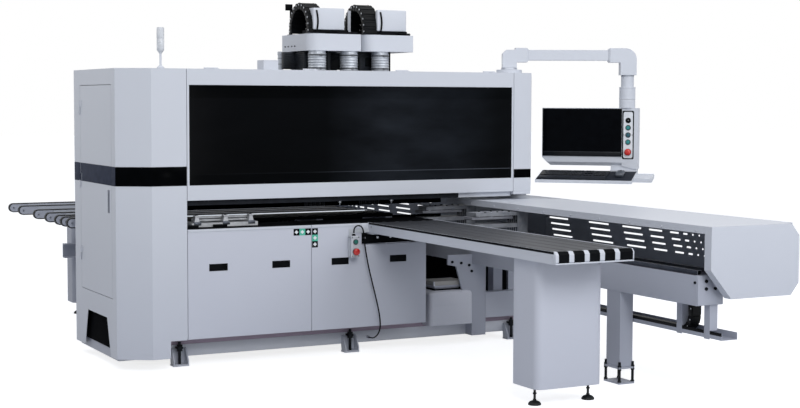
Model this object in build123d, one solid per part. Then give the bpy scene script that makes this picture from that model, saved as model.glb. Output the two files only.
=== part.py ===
from build123d import *
import math
import os

# Six-side CNC drilling machine for furniture panels. Millimetres, +Z up, the operator stands at -Y.
# Layout frame: X = 0 at the hood's left seam, Y = 0 at the hood's front face, Z = 0 on the floor.
# Every piece is moved at the end, so that the origin is the middle of the machine's footprint.

# Sheet metal, seams and running clearances
SHEET = 3
SEAM = 3
GAP = 0.5

# Housing
HOOD_W = 2342
HOUSE_D = 1004
HOUSE_TOP = 1845
HOOD_BOTTOM = 1040
HOOD_DEPTH = 42
COVER_FOOT = 75
LEFT_FRONT = 223
LEFT_CHAMFER_X = 190
LEFT_CHAMFER_Y = 116
RIGHT_FRONT = 138
RIGHT_FRONT_D = 188
RIGHT_BULGE = 429
POST_CLEAR = 10
ROOF_RETURN = 28
ROOF_SLOT_CLEAR = 25
ROOF_SLOT_END = 40

# Hood window
GLASS_BOTTOM = 1132
GLASS_TOP = 1746
GLASS_MARGIN = 17
GLASS_LAP = 12
GLASS_T = 5
HOOD_FACE_T = 4
SKIRT_DROP = 33
SKIRT_T = 6
HINGE_R = 4.5
HINGE_LEAF = 3
HINGE_W = 90
HOOD_HINGES = 4
HOOD_HINGE_INSET = 130
DOOR_HINGE_ZS = (620, 1090, 1560)

# Left side door, its pull and the cut-outs round it
DOOR_Y0 = 193
DOOR_Y1 = 861
DOOR_BOTTOM = 440
DOOR_TOP = 1744
DOOR_DEPTH = 22
DOOR_PULL_Y = 245
DOOR_PULL_W = 22
DOOR_PULL_Z0 = 963
DOOR_PULL_Z1 = 1101
FOOT_CUT_TOP = 309
FOOT_CUT_TOP_Y = (315, 730)
FOOT_CUT_BOTTOM_Y = (240, 800)
NOTCH_W = 109
NOTCH_TOP = 182
ROOF_BOX = (546, 650, 95, 207, 62)

# Welded base
BASE_BOTTOM = 52
BASE_TOP = 178
RAIL_W = 95
FRONT_RAIL_Y = 188
POST_INSET = 32
POST_W = 150
POST_D = 226
STAND_W = 50
STAND_XS = (28, 590)
STAND_CONV_OUT = 89
STAND_LAST_INSET = 56
BEARER_H = 48
TUBE = 56
TUBE_WALL = 8
GANTRY_WALL = 12
LUG_W = 32

# Levelling feet
FOOT_FIRST = 0
FOOT_MIDDLE = 1181
FOOT_OUT = 88
REAR_FOOT_FIRST = 70
FOOT_W = 104
FOOT_D = 68
FOOT_PLATE_T = 11
FOOT_GUSSET_T = 8
FOOT_GUSSET_TOP = 140
FOOT_BOLT_R = 9

# Gantry and its linear rails
GANTRY_BACK = 98
GANTRY_BOTTOM = 1318
GANTRY_TOP = 1581
GUIDE_W = 28
GUIDE_H = 28
GUIDE_ZS = (1365, 1534)
GUIDE_END = 60

# Work table
TABLE_TOP = 866
SLAT_T = 19
SLAT_W = 58
SLAT_GAP = 11
FRONT_SLATS = 4
REAR_SLATS = 5
FRONT_TABLE_Y0 = 34
REAR_TABLE_BACK = 36
TABLE_LEFT = 12
FENCE_PLATE = (70, 510, 110, 290)
FENCE_T = 24
FENCE_H = 40
GUIDE_BAR_R = 14

# Lift-off front panels and their moulded pulls
PANEL_SHORT = 676
PANEL_BOTTOM = 184
PANEL_TOP = 861
PANEL_DEPTH = 24
PANEL_LIFT = 25
PULL_W = 122
PULL_H = 45
PULL_DEPTH = 20
PULL_WALL = 2
PULL_Z = 622
PULL_LEFT = 202
PULL_RIGHT = 210
PANEL_STEP_CLEAR = 51
PANEL_STEP_TOP = 722

# Infeed belt table
CONV_INSET = 1103
CONV_W = 503
CONV_FRONT = -2184
CONV_BACK = 12
CONV_H = 68
CONV_PLATE = 6
BELT_W = 76
BELT_SPACE = 22
BELTS = 5
BELT_T = 3.5
DRUM_R = 25
SHAFT_R = 9
TAB_W = 18
LEG_INSET = 36
LEG_SETBACK = 226
LEG_D = 271
LEG_BOTTOM = 95
LEG_R = 42
PAD_R = 36
STUD_R = 7

# Gripper beam, its cover and its guard
BEAM_INSET = 262
BEAM_W = 178
BEAM_BOTTOM = 546
BEAM_TOP = 712
BEAM_WALL = 8
BEAM_FRONT = -2296
COVER_OUT = 353
COVER_TOP = 985
COVER_LIP = 41
COVER_BACK = 455
CAP_OVER = 117
CAP_REAR = 3393
CAP_DEPTH = 57
CAP_BOTTOM = 589
CAP_CHAMFER_X = 55
CAP_CHAMFER_Z = 66
CAP_CUT_X = 141
CAP_CUT_Z = 160
GUARD_FLOOR = 659
SLOT_ROWS = 4
SLOT_ROW_Z = 729
SLOT_PITCH = 39.5
SLOT_STAGGER = 18
SLOT_H = 11
SLOT_YS = (-2060, -1960, -1860, -1750, -1647, -1582, -1521, -1449, -1342, -1153, -903, -538, -64, 400, 880, 1380,
           1882, 2278, 2635, 2890, 3060, 3170, 3250, 3320)
SLOT_LENGTHS = (14, 14, 14, 14, 14, 15, 17, 43, 88, 137, 203, 228, 232, 240, 250, 251,
                251, 249, 206, 137, 88, 43, 15, 14)
TRACK_W = 26
TRACK_H = 26
TRACK_INSET = 32

# Legs under the gripper beam and its cable tray
BEAM_LEG_INSET = 48
BEAM_LEG_YS = (-1532, 2520)
BEAM_LEG_W = 92
BEAM_LEG_D = 132
BEAM_PLATE_W = 110
BEAM_PLATE_D = 152
BEAM_PLATE_T = 11
BEAM_PLATE_Z = 90
BEAM_BOLT_R = 8
PEDESTAL_W = 110
PEDESTAL_D = 84
PEDESTAL_HEAD = 190
PEDESTAL_HEAD_T = 14
PEDESTAL_WEB_Z = 345
PEDESTAL_RISE = 66
PEDESTAL_WAIST = 124
PEDESTAL_TOE = 70
PROP_OUT = 51
PROP_W = 72
TRAY_SIDE_GAP = 2
TRAY_W = 108
TRAY_Z = 362
TRAY_H = 40
TRAY_OVER = 94
TRAY_BACK = -900
HANGER_STEPS = (100, 340, 940)
HANGER_LAST = 60
HANGER_W = 46
CHAIN_W = 66
CHAIN_H = 30
LINK = 46
TRAY_LINKS = 24
TRAY_BEND_LINKS = 3
CHAIN_GAP = 3

# Vacuum pump cabinet under the infeed belts
PUMP_W = 340
PUMP_D = 340
PUMP_AHEAD = 108
PUMP_BOTTOM = 140
PUMP_TOP = 335
PUMP_R = 30
PUMP_LID_W = 229
PUMP_LID_D = 170
PUMP_LID_H = 55
PUMP_LID_EDGE = 26
PUMP_LID_INSET = 63
PUMP_STEM_H = 42
PUMP_STEM_INSET = 46
RIGHT_PANEL_OUT = 60
RIGHT_PANEL_TOP = 341
PANEL_CLEAR = 15
SCREEN_SETBACK = 34

# Outfeed belt arms behind the machine
ARM_STEPS = (146, 295, 444, 699, 1020, 1462, 1764)
ARM_PULLEY_X0 = -399
ARM_PULLEY_X1 = 1690
ARM_TOP = 868
ARM_H = 68
ARM_W = 38
ARM_PLATE = 4
ARM_BELT_T = 4.5
ARM_PIN_R = 6
CROSS_XS = (30, 1560)
CROSS_W = 76
CROSS_TOP = 770
CROSS_H = 60
CROSS_L = 1826
REAR_LEG_D = 200
REAR_LEG_W = 150
SIDE_RAIL_Z = 452
SIDE_RAIL_H = 108

# Upper drilling heads, parked side by side
HEAD_XS = (950, 1357)
HEAD_WS = (371, 356)
HOSE_XS = ((81, 313), (139,))
HEAD_TRAY_AHEAD = 395
HEAD_TRAY_D = 455
HEAD_TRAY_Z = 1980
HEAD_TRAY_H = 111
HEAD_TRAY_R = 80
HOSE_R = 61
HOSE_WALL = 3
HOSE_RIB = 4
HOSE_AHEAD = 330
HOSE_BOTTOM = 1800
HOSE_RIBS = 6
SPIGOT_R = 57
SPIGOT_BOTTOM = 1340
MOTOR_TOP = 1974
MOTOR_AHEAD = 262
MOTOR_W = 190
MOTOR_D = 150
MOTOR_X = 20
BLOCK_TIP = 950
BLOCK_BOTTOM = 985
BLOCK_TOP = 1250
BLOCK_AHEAD = 292
BLOCK_D = 215
DRILL_R = 5
SPINDLE_R = 24
CHAIN_ARCH_X = 14
CHAIN_ARCH_W = 108
CHAIN_ARCH_R = 165
CHAIN_ARCH_T = 44
CHAIN_ARCH_LEG = 46
CHAIN_ARCH_LINKS = 11
HEAD_BOX_XS = (135, 168)
HEAD_BOX_YS = (118, 68)
HEAD_BOX_W = 170
HEAD_BOX_D = 120
HEAD_BOX_H = 141
HEAD_BOX_R = 50
HEAD_BOX_LIFT = 28
SIDE_PLATE_T = 4
SIDE_PLATE_W = 90
SIDE_PLATE_GAP = 6
END_PLATE_Y = 238
END_PLATE_W = 40
DRILL_PITCH = 32

# Lower drilling head and its guide beam
LOWER_BEAM_INSET = 30
LOWER_BEAM_D = 95
LOWER_BEAM_Z0 = 405
LOWER_BEAM_H = 122
LOWER_HEAD_X = 870
LOWER_HEAD_W = 240
LOWER_BLOCK_TOP = 830
LOWER_BLOCK_H = 260
LOWER_BLOCK_D = 230
LOWER_BLOCK_INSET = 20
LOWER_PLATE_T = 60
LOWER_PLATE_LIFT = 10
LOWER_PLATE_BELOW = 130
LOWER_DRILL_H = 26
LOWER_DRILL_BACK = 180
LOWER_DRILL_INSET = 56

# Electrical mounting plate behind the side door
PLATE_Y0 = 170
PLATE_W = 430
PLATE_BOTTOM = 500
PLATE_TOP = 1690
PLATE_T = 5
DRIVES = 5
DRIVE_W = 66
DRIVE_PITCH = 78
DRIVE_D = 145
DRIVE_Z = 1350
DRIVE_H = 230
TERMINALS = 9
TERMINAL_W = 38
TERMINAL_PITCH = 42
TERMINAL_D = 80
TERMINAL_Z = 1080
TERMINAL_H = 90
ROW_INSET = 25
DUCT_ZS = (1000, 1240, 1620)
DUCT_INSET = 10
DUCT_D = 55
DUCT_H = 40
SUPPLY_INSET = 60
SUPPLY_D = 195
SUPPLY_Z = 600
SUPPLY_H = 260

# Panel grippers
GRIPPER_YS = (-391, 268)
GRIPPER_CLEAR = 14
GRIPPER_L = 180
JAW_LOWER_T = 26
JAW_OPEN = 26
JAW_T = 16
ARM_PLATE_T = 24
GRIPPER_TOP = 938
JAW_ROD_R = 8

# Tower light
LIGHT_X = -56
LIGHT_Y = 311
LIGHT_R = 24
LIGHT_Z0 = 1965
LIGHT_TOP = 2106
LIGHT_POLE_R = 7

# Pendant arm, control case and keyboard tray
PENDANT_IN = 58
PENDANT_Y = 160
PENDANT_YAW = -27.75
PENDANT_REACH = 817
PENDANT_Z = 1969
FLANGE_R = 88
FLANGE_T = 24
ARM_TUBE_H = 72
ARM_TUBE_W = 72
ARM_CAST = 98
ARM_SLEEVE = 130
ARM_SLEEVE_EDGE = 11
COUPLING_R = 55
DROP_R = 44
SWIVEL_Z = 1666
CASE_TOP = 1608
CASE_YAW = -45
CASE_LEFT = -587
CASE_RIGHT = 83
CASE_BOTTOM = 1190
CASE_CHIN = 18
CASE_CHIN_EDGE = 24
CASE_CHAMFER = 56
CASE_HEEL = 31
CASE_D = 80
SCREEN_LEFT = -583
SCREEN_RIGHT = -28
SCREEN_BOTTOM = 1273
SCREEN_T = 4
BUTTON_X = 15
KEY_Z = 1523
PUSH_ZS = (1473, 1423, 1374)
STOP_Z = 1305
PUSH_R = 14
PUSH_TRAVEL = 4
STOP_R = 23
STOP_STEM_R = 11
BORE_DEPTH = 10
KEYTRAY_LEFT = -582
KEYTRAY_RIGHT = 82
KEYTRAY_BACK = -38
KEYTRAY_FRONT = -292
KEYTRAY_Z = 1174
KEYTRAY_DROP = 56
KEYTRAY_T = 20
MOUSE_PAD_W = 126
CASE_WALL = 3
CASE_FRONT_T = 14
CABLE_BORE_R = 30
KEYBOARD_W = 470
KEYBOARD_D = 200
KEYBOARD_INSET = 10
MOUSE_W = 58
MOUSE_L = 103
MOUSE_IN = 127
MOUSE_BACK = 77

# Push-button box on the infeed table, with its cable
BOX_OUT = 152
BOX_W = 58
BOX_D = 54
BOX_BACK = -6
BOX_BOTTOM = 649
BOX_TOP = 786
BOX_START_Z = 748
BOX_STOP_Z = 685
GLAND_R = 9
GLAND_H = 18
CABLE_R = 4.5
CABLE_GLAND_Z = 84
CABLE_OUT = 210


def block(x0, x1, y0, y1, z0, z1):
    """Box between two corners."""
    return Pos((x0 + x1) / 2, (y0 + y1) / 2, (z0 + z1) / 2) * Box(x1 - x0, y1 - y0, z1 - z0)


def plan(points, z0, z1):
    """Upright prism on an outline in X and Y."""
    return Pos(0, 0, z0) * extrude(make_face(Polyline(*points, close=True)), amount=z1 - z0)


def front_prism(points, y0, y1):
    """Prism along Y on an outline in X and Z."""
    return extrude(Plane.XZ.offset(-y1) * make_face(Polyline(*points, close=True)), amount=y1 - y0)


def side_prism(points, x0, x1):
    """Prism along X on an outline in Y and Z."""
    return extrude(Plane.YZ.offset(x0) * make_face(Polyline(*points, close=True)), amount=x1 - x0)


def rod_x(x0, x1, y, z, r):
    return Pos((x0 + x1) / 2, y, z) * Rot(0, 90, 0) * Cylinder(r, x1 - x0)


def rod_y(x, y0, y1, z, r):
    return Pos(x, (y0 + y1) / 2, z) * Rot(90, 0, 0) * Cylinder(r, y1 - y0)


def rod_z(x, y, z0, z1, r):
    return Pos(x, y, (z0 + z1) / 2) * Cylinder(r, z1 - z0)


def loop_y(y0, y1, z, r, wall, x0, x1):
    """Belt loop in the Y-Z plane round two drums of one size."""
    centre = Plane.YZ.offset(x0) * Pos((y0 + y1) / 2, z)
    ring = SlotOverall(y1 - y0 + 2 * r + 2 * wall, 2 * r + 2 * wall) - SlotOverall(y1 - y0 + 2 * r, 2 * r)
    return extrude(centre * ring, amount=x1 - x0)


def loop_x(x0, x1, z, r, wall, y0, y1):
    """Belt loop in the X-Z plane round two pulleys of one size."""
    centre = Plane.XZ.offset(-y1) * Pos((x0 + x1) / 2, z)
    ring = SlotOverall(x1 - x0 + 2 * r + 2 * wall, 2 * r + 2 * wall) - SlotOverall(x1 - x0 + 2 * r, 2 * r)
    return extrude(centre * ring, amount=y1 - y0)


def fuse(pieces):
    """One solid out of pieces that meet."""
    whole = pieces[0]
    for piece in pieces[1:]:
        whole = whole + piece
    return whole


nodes = {}

# Places that several pieces share
left_x = -(LEFT_FRONT + LEFT_CHAMFER_X)
rear_face = HOUSE_D - SHEET
gantry_y1 = rear_face - GANTRY_BACK
gantry_y0 = gantry_y1 - POST_D
bulge_y = gantry_y0 - POST_CLEAR
rear_table_y0 = rear_face - REAR_TABLE_BACK - REAR_SLATS * (SLAT_W + SLAT_GAP)
lower_beam_y0 = rear_table_y0 + LOWER_BEAM_INSET
conv_x0 = HOOD_W - CONV_INSET
conv_x1 = conv_x0 + CONV_W
leg_x0 = conv_x0 + LEG_INSET
leg_w = CONV_W - 2 * LEG_INSET
leg_y0 = CONV_FRONT + LEG_SETBACK
panel_w = (HOOD_W - PANEL_SHORT) / 2
panel_step_x = conv_x0 - PANEL_STEP_CLEAR
left_pull_xs = (PULL_LEFT, panel_w - PULL_RIGHT)
right_pull_xs = (panel_w + PULL_LEFT, 2 * panel_w - PULL_RIGHT)
box_x0 = conv_x0 - BOX_OUT
beam_x0 = HOOD_W - BEAM_INSET
beam_cover_x1 = HOOD_W + COVER_OUT
beam_leg_x = beam_x0 + BEAM_LEG_INSET
gripper_x0 = conv_x1 + GRIPPER_CLEAR
pendant_x = HOOD_W + PENDANT_IN
pump_x0 = beam_x0 - PUMP_W
cap_front = BEAM_FRONT - CAP_OVER
tray_front = BEAM_FRONT - TRAY_OVER
hanger_ys = [tray_front + step for step in HANGER_STEPS] + [TRAY_BACK - HANGER_LAST]
arm_ys = [HOUSE_D + step for step in ARM_STEPS]
cross_back = HOUSE_D + CROSS_L
head_tray_y0 = gantry_y0 - HEAD_TRAY_AHEAD
hose_y = gantry_y0 - HOSE_AHEAD
motor_y0 = gantry_y0 - MOTOR_AHEAD
block_y0 = gantry_y0 - BLOCK_AHEAD
foot_last = HOOD_W + FOOT_OUT
table_right = conv_x1 - 4
slat_bottom = TABLE_TOP - SLAT_T
bearer_bottom = slat_bottom - BEARER_H
beam_x1 = beam_x0 + BEAM_W
track_xs = (beam_x0 + TRACK_INSET, beam_x1 - TRACK_INSET)
left_post_x = left_x + POST_INSET
right_post_x = beam_cover_x1 + POST_INSET
rear_rail_y0 = rear_face - RAIL_W
front_rail_y1 = FRONT_RAIL_Y + RAIL_W
stand_xs = STAND_XS + (conv_x0 - STAND_CONV_OUT, table_right - STAND_LAST_INSET)
front_base_x1 = HOOD_W + RIGHT_FRONT
tray_x0 = beam_leg_x + BEAM_LEG_W / 2 + SHEET + TRAY_SIDE_GAP
hinge_y = HOOD_DEPTH + SEAM / 2
hinge_z = HOUSE_TOP + HINGE_R + GAP
door_hinge_x = left_x - HINGE_R
door_hinge_y = DOOR_Y1 + SEAM / 2


def base_frame():
    """Welded ladder of rails with the table's stands and the lower head's guide beam."""
    rails = [
        block(left_post_x, front_base_x1, FRONT_RAIL_Y, front_rail_y1, BASE_BOTTOM, BASE_TOP),
        block(left_post_x, right_post_x + POST_W, rear_rail_y0, rear_face, BASE_BOTTOM, BASE_TOP),
        block(left_post_x, left_post_x + POST_W, front_rail_y1, rear_rail_y0, BASE_BOTTOM, BASE_TOP),
        block(front_base_x1 - RAIL_W, front_base_x1, front_rail_y1, rear_rail_y0, BASE_BOTTOM, BASE_TOP),
        block(right_post_x, right_post_x + POST_W, gantry_y0, rear_rail_y0, BASE_BOTTOM, BASE_TOP),
    ]
    for x in stand_xs[1:3]:
        rails.append(block(x, x + RAIL_W, front_rail_y1, rear_rail_y0, BASE_BOTTOM, BASE_TOP))
        rails.append(block(x, x + RAIL_W, lower_beam_y0 + 10, lower_beam_y0 + LOWER_BEAM_D - 10,
                           BASE_TOP, LOWER_BEAM_Z0))
    rails.append(block(stand_xs[0], table_right, lower_beam_y0, lower_beam_y0 + LOWER_BEAM_D,
                       LOWER_BEAM_Z0, LOWER_BEAM_Z0 + LOWER_BEAM_H))
    rear_table_y1 = rear_table_y0 + REAR_SLATS * (SLAT_W + SLAT_GAP)
    front_table_y1 = FRONT_TABLE_Y0 + FRONT_SLATS * (SLAT_W + SLAT_GAP)
    for x in stand_xs:
        rails.append(block(x, x + STAND_W, FRONT_RAIL_Y, FRONT_RAIL_Y + TUBE, BASE_TOP, bearer_bottom))
        rails.append(block(x, x + STAND_W, PANEL_DEPTH + GAP, front_table_y1, bearer_bottom, slat_bottom))
        rails.append(block(x, x + STAND_W, rear_face - TUBE, rear_face, BASE_TOP, bearer_bottom))
        rails.append(block(x, x + STAND_W, rear_table_y0, max(rear_table_y1, rear_face), bearer_bottom, slat_bottom))
    w = TUBE_WALL
    low, high = BASE_BOTTOM + w, BASE_TOP - w
    hollows = [
        block(left_post_x - 1, front_base_x1 + 1, FRONT_RAIL_Y + w, front_rail_y1 - w, low, high),
        block(left_post_x - 1, right_post_x + POST_W + 1, rear_rail_y0 + w, rear_face - w, low, high),
        block(left_post_x + w, left_post_x + POST_W - w, front_rail_y1 - w - 1, rear_rail_y0 + w + 1, low, high),
        block(stand_xs[0] - 1, table_right + 1, lower_beam_y0 + w, lower_beam_y0 + LOWER_BEAM_D - w,
              LOWER_BEAM_Z0 + w, LOWER_BEAM_Z0 + LOWER_BEAM_H - w),
    ]
    return fuse(rails) - hollows


def levelling_foot(x, face, out):
    """Plate, two flared gussets and a jacking bolt on a rail's outer face; out is -1 in front, +1 behind."""
    def y(d):
        return face + out * d
    low, high = sorted((y(2), y(FOOT_D)))
    plate = block(x - FOOT_W / 2, x + FOOT_W / 2, low, high, 0, FOOT_PLATE_T)
    outline = [(y(0), BASE_BOTTOM), (y(0), FOOT_GUSSET_TOP), (y(24), FOOT_GUSSET_TOP),
               (y(FOOT_D), FOOT_PLATE_T), (y(6), FOOT_PLATE_T)]
    inner = FOOT_W / 2 - FOOT_GUSSET_T - 2
    near, far = sorted((y(0), y(50)))
    pieces = [plate,
              side_prism(outline, x - inner - FOOT_GUSSET_T, x - inner),
              side_prism(outline, x + inner, x + inner + FOOT_GUSSET_T),
              block(x - inner, x + inner, near, far, FOOT_GUSSET_TOP - 34, FOOT_GUSSET_TOP - 22),
              rod_z(x, y(33), FOOT_PLATE_T, FOOT_GUSSET_TOP + 10, FOOT_BOLT_R),
              rod_z(x, y(33), FOOT_GUSSET_TOP - 22, FOOT_GUSSET_TOP - 6, 2 * FOOT_BOLT_R)]
    return fuse(pieces)


def round_pad(x, y, top):
    """Domed pad on a threaded stud."""
    profile = Polyline((0, 0), (PAD_R, 0), (PAD_R, 8), (PAD_R * 0.7, 20), (STUD_R, 28), (STUD_R, top), (0, top),
                       close=True)
    return Pos(x, y, 0) * revolve(Plane.XZ * make_face(profile), Axis.Z)


nodes["base_frame"] = base_frame()

feet = [levelling_foot(x, FRONT_RAIL_Y, -1) for x in (FOOT_FIRST, FOOT_MIDDLE, foot_last)]
rear_foot_xs = (REAR_FOOT_FIRST, FOOT_MIDDLE, foot_last, right_post_x + POST_W / 2)
feet += [levelling_foot(x, rear_face, 1) for x in rear_foot_xs]
feet += [round_pad(leg_x0 + inset, leg_y0 + 0.3 * LEG_D, LEG_BOTTOM + SHEET) for inset in (40, leg_w - 40)]
rear_leg_y0 = cross_back - REAR_LEG_D
feet += [round_pad(x + CROSS_W - 20, rear_leg_y0 + REAR_LEG_D / 2, LEG_BOTTOM) for x in CROSS_XS]
nodes["levelling_feet"] = Compound(children=feet)

# Gantry: two posts, the cross beam and the two rails that the heads run on
gantry = fuse([
    block(left_post_x, left_post_x + POST_W, gantry_y0, gantry_y1, BASE_TOP, GANTRY_TOP),
    block(right_post_x, right_post_x + POST_W, gantry_y0, gantry_y1, BASE_TOP, GANTRY_TOP),
    block(left_post_x + POST_W, right_post_x, gantry_y0, gantry_y1, GANTRY_BOTTOM, GANTRY_TOP),
])
gantry -= [
    block(left_post_x + GANTRY_WALL, left_post_x + POST_W - GANTRY_WALL, gantry_y0 + GANTRY_WALL,
          gantry_y1 - GANTRY_WALL, BASE_TOP - 1, GANTRY_TOP - GANTRY_WALL),
    block(right_post_x + GANTRY_WALL, right_post_x + POST_W - GANTRY_WALL, gantry_y0 + GANTRY_WALL,
          gantry_y1 - GANTRY_WALL, BASE_TOP - 1, GANTRY_TOP - GANTRY_WALL),
    block(left_post_x + POST_W - GANTRY_WALL - 1, right_post_x + GANTRY_WALL + 1, gantry_y0 + GANTRY_WALL,
          gantry_y1 - GANTRY_WALL, GANTRY_BOTTOM + GANTRY_WALL, GANTRY_TOP - GANTRY_WALL),
]
cover_x1 = front_base_x1 + RIGHT_BULGE - SHEET
for z in (HOOD_BOTTOM + 120, GANTRY_TOP - 60):
    gantry += block(left_x + SHEET, left_post_x, gantry_y1 - LUG_W, gantry_y1, z, z + LUG_W)
    gantry += block(right_post_x + POST_W, cover_x1, gantry_y1 - LUG_W, gantry_y1, z, z + LUG_W)
head_guides = [block(GUIDE_END, HOOD_W - GUIDE_END, gantry_y0 - GUIDE_H, gantry_y0, z - GUIDE_W / 2, z + GUIDE_W / 2)
               for z in GUIDE_ZS]
nodes["gantry_frame"] = Compound(children=[gantry] + head_guides)


def beam_window(x0, x1):
    """Opening in a column cover's inner wall for the gantry beam."""
    return block(x0, x1, gantry_y0 - GUIDE_H - 10, gantry_y1 + 20, GANTRY_BOTTOM - 25, GANTRY_TOP + 25)


def door_knuckle(z, side):
    """Half of a lift-off hinge on the column's outer face: side +1 behind the pin on the cover, -1 on the door."""
    leaf_y = sorted((door_hinge_y, door_hinge_y + side * (SEAM + 26)))
    low = z if side > 0 else z + HINGE_W / 2 + GAP
    barrel = rod_z(door_hinge_x, door_hinge_y, low, low + HINGE_W / 2, HINGE_R - GAP)
    return barrel + block(left_x - HINGE_LEAF, left_x, leaf_y[0], leaf_y[1], low, low + HINGE_W / 2)


def hood_knuckle(x, side):
    """Part of a hood hinge on the roof line: side +1 on the roof, -1 on the hood, which has the two outer barrels."""
    third = HINGE_W / 3
    leaf_y = sorted((hinge_y, hinge_y + side * (SEAM + 24)))
    starts = [x + third + GAP] if side > 0 else [x, x + 2 * third + 2 * GAP]
    pieces = []
    for x0 in starts:
        pieces.append(rod_x(x0, x0 + third, hinge_y, hinge_z, HINGE_R))
        pieces.append(block(x0, x0 + third, leaf_y[0], leaf_y[1], HOUSE_TOP, HOUSE_TOP + HINGE_LEAF))
    return pieces


hood_hinge_step = (HOOD_W - 2 * HOOD_HINGE_INSET - HINGE_W) / (HOOD_HINGES - 1)
hood_hinge_xs = [HOOD_HINGE_INSET + i * hood_hinge_step for i in range(HOOD_HINGES)]


def left_column_cover():
    outline = [(0, 0), (-LEFT_FRONT, 0), (left_x, LEFT_CHAMFER_Y), (left_x, HOUSE_D), (0, HOUSE_D)]
    outer = plan(outline, COVER_FOOT, HOUSE_TOP)
    inner_face = offset(make_face(Polyline(*outline, close=True)), amount=-SHEET, kind=Kind.INTERSECTION)
    cavity = Pos(0, 0, COVER_FOOT - 1) * extrude(inner_face, amount=HOUSE_TOP - SHEET - COVER_FOOT + 1)
    cover = outer - cavity
    cover -= block(left_x - 1, left_x + SHEET + 1, DOOR_Y0 - SEAM, DOOR_Y1 + SEAM,
                   DOOR_BOTTOM - SEAM, DOOR_TOP + SEAM)
    (low0, low1), (top0, top1) = FOOT_CUT_BOTTOM_Y, FOOT_CUT_TOP_Y
    cover -= side_prism([(low0, COVER_FOOT - 2), (top0, FOOT_CUT_TOP), (top1, FOOT_CUT_TOP), (low1, COVER_FOOT - 2)],
                        left_x - 1, left_x + SHEET + 1)
    cover -= block(-NOTCH_W, 1, -1, SHEET + 1, COVER_FOOT - 1, NOTCH_TOP)
    cover -= block(-SHEET - 1, 1, -1, HOUSE_D + 1, COVER_FOOT - 1, BASE_TOP + 10)
    cover -= beam_window(-SHEET - 1, 1)
    for z in DOOR_HINGE_ZS:
        cover += door_knuckle(z, 1)
    return cover


def right_column_cover():
    x0 = HOOD_W
    x1 = HOOD_W + RIGHT_FRONT
    x2 = x1 + RIGHT_BULGE
    outline = [(x0, 0), (x1, 0), (x1, RIGHT_FRONT_D), (x2, bulge_y), (x2, HOUSE_D), (x0, HOUSE_D)]
    outer = plan(outline, HOOD_BOTTOM, HOUSE_TOP)
    inner_face = offset(make_face(Polyline(*outline, close=True)), amount=-SHEET, kind=Kind.INTERSECTION)
    cavity = Pos(0, 0, HOOD_BOTTOM - 1) * extrude(inner_face, amount=HOUSE_TOP - SHEET - HOOD_BOTTOM + 1)
    return outer - cavity - beam_window(x0 - 1, x0 + SHEET + 1)


nodes["left_column_cover"] = left_column_cover()
nodes["right_column_cover"] = right_column_cover()

# Roof of four sheets round the long slot that the heads' upper ends travel in, and its junction box
roof_y0 = HOOD_DEPTH + SEAM
slot_y0 = hose_y - HOSE_R - ROOF_SLOT_CLEAR
slot_x0 = GUIDE_END + ROOF_SLOT_END
slot_x1 = HOOD_W - slot_x0
roof_z0 = HOUSE_TOP - SHEET
roof_front = fuse([
    block(0, HOOD_W, roof_y0, slot_y0, roof_z0, HOUSE_TOP),
    block(0, HOOD_W, roof_y0, roof_y0 + SHEET, HOUSE_TOP - ROOF_RETURN, HOUSE_TOP),
])
for x in hood_hinge_xs:
    roof_front = fuse([roof_front] + hood_knuckle(x, 1))
roof = [
    roof_front,
    block(0, HOOD_W, gantry_y0, HOUSE_D, roof_z0, HOUSE_TOP),
    block(0, slot_x0, slot_y0, gantry_y0, roof_z0, HOUSE_TOP),
    block(slot_x1, HOOD_W, slot_y0, gantry_y0, roof_z0, HOUSE_TOP),
]
rx0, rx1, ry0, ry1, roof_box_h = ROOF_BOX
junction = block(rx0, rx1, ry0, ry1, HOUSE_TOP, HOUSE_TOP + roof_box_h)
nodes["roof_cover"] = Compound(children=roof + [fillet(junction.edges().filter_by(Axis.Z), 10)])

# Fixed panels: upper back, two lower back panels, the lower right panel and a screen on the rear rail under the beam
screen_y0 = rear_rail_y0 + SCREEN_SETBACK
panel_foot = BASE_TOP - 14
rear_split = table_right / 2
right_panel_x0 = beam_x0 + PEDESTAL_W + PANEL_CLEAR
right_panel_y0 = FRONT_RAIL_Y - RIGHT_PANEL_OUT
right_panel = block(right_panel_x0, front_base_x1, right_panel_y0, FRONT_RAIL_Y, panel_foot, RIGHT_PANEL_TOP)
right_panel -= block(right_panel_x0 + SHEET, front_base_x1 - SHEET, right_panel_y0 + SHEET, FRONT_RAIL_Y + 1,
                     panel_foot - 1, RIGHT_PANEL_TOP - SHEET)
nodes["fixed_panels"] = Compound(children=[
    block(0, HOOD_W, rear_face, HOUSE_D, HOOD_BOTTOM, HOUSE_TOP - SHEET),
    block(0, rear_split - SEAM, rear_face, HOUSE_D, panel_foot, bearer_bottom - SEAM),
    block(rear_split, beam_x0 - PEDESTAL_HEAD - PANEL_CLEAR, rear_face, HOUSE_D, panel_foot, bearer_bottom - SEAM),
    right_panel,
    block(table_right + PANEL_CLEAR, right_post_x - PANEL_CLEAR, screen_y0, screen_y0 + SHEET, BASE_TOP,
          BEAM_BOTTOM - PANEL_CLEAR),
])


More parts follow.
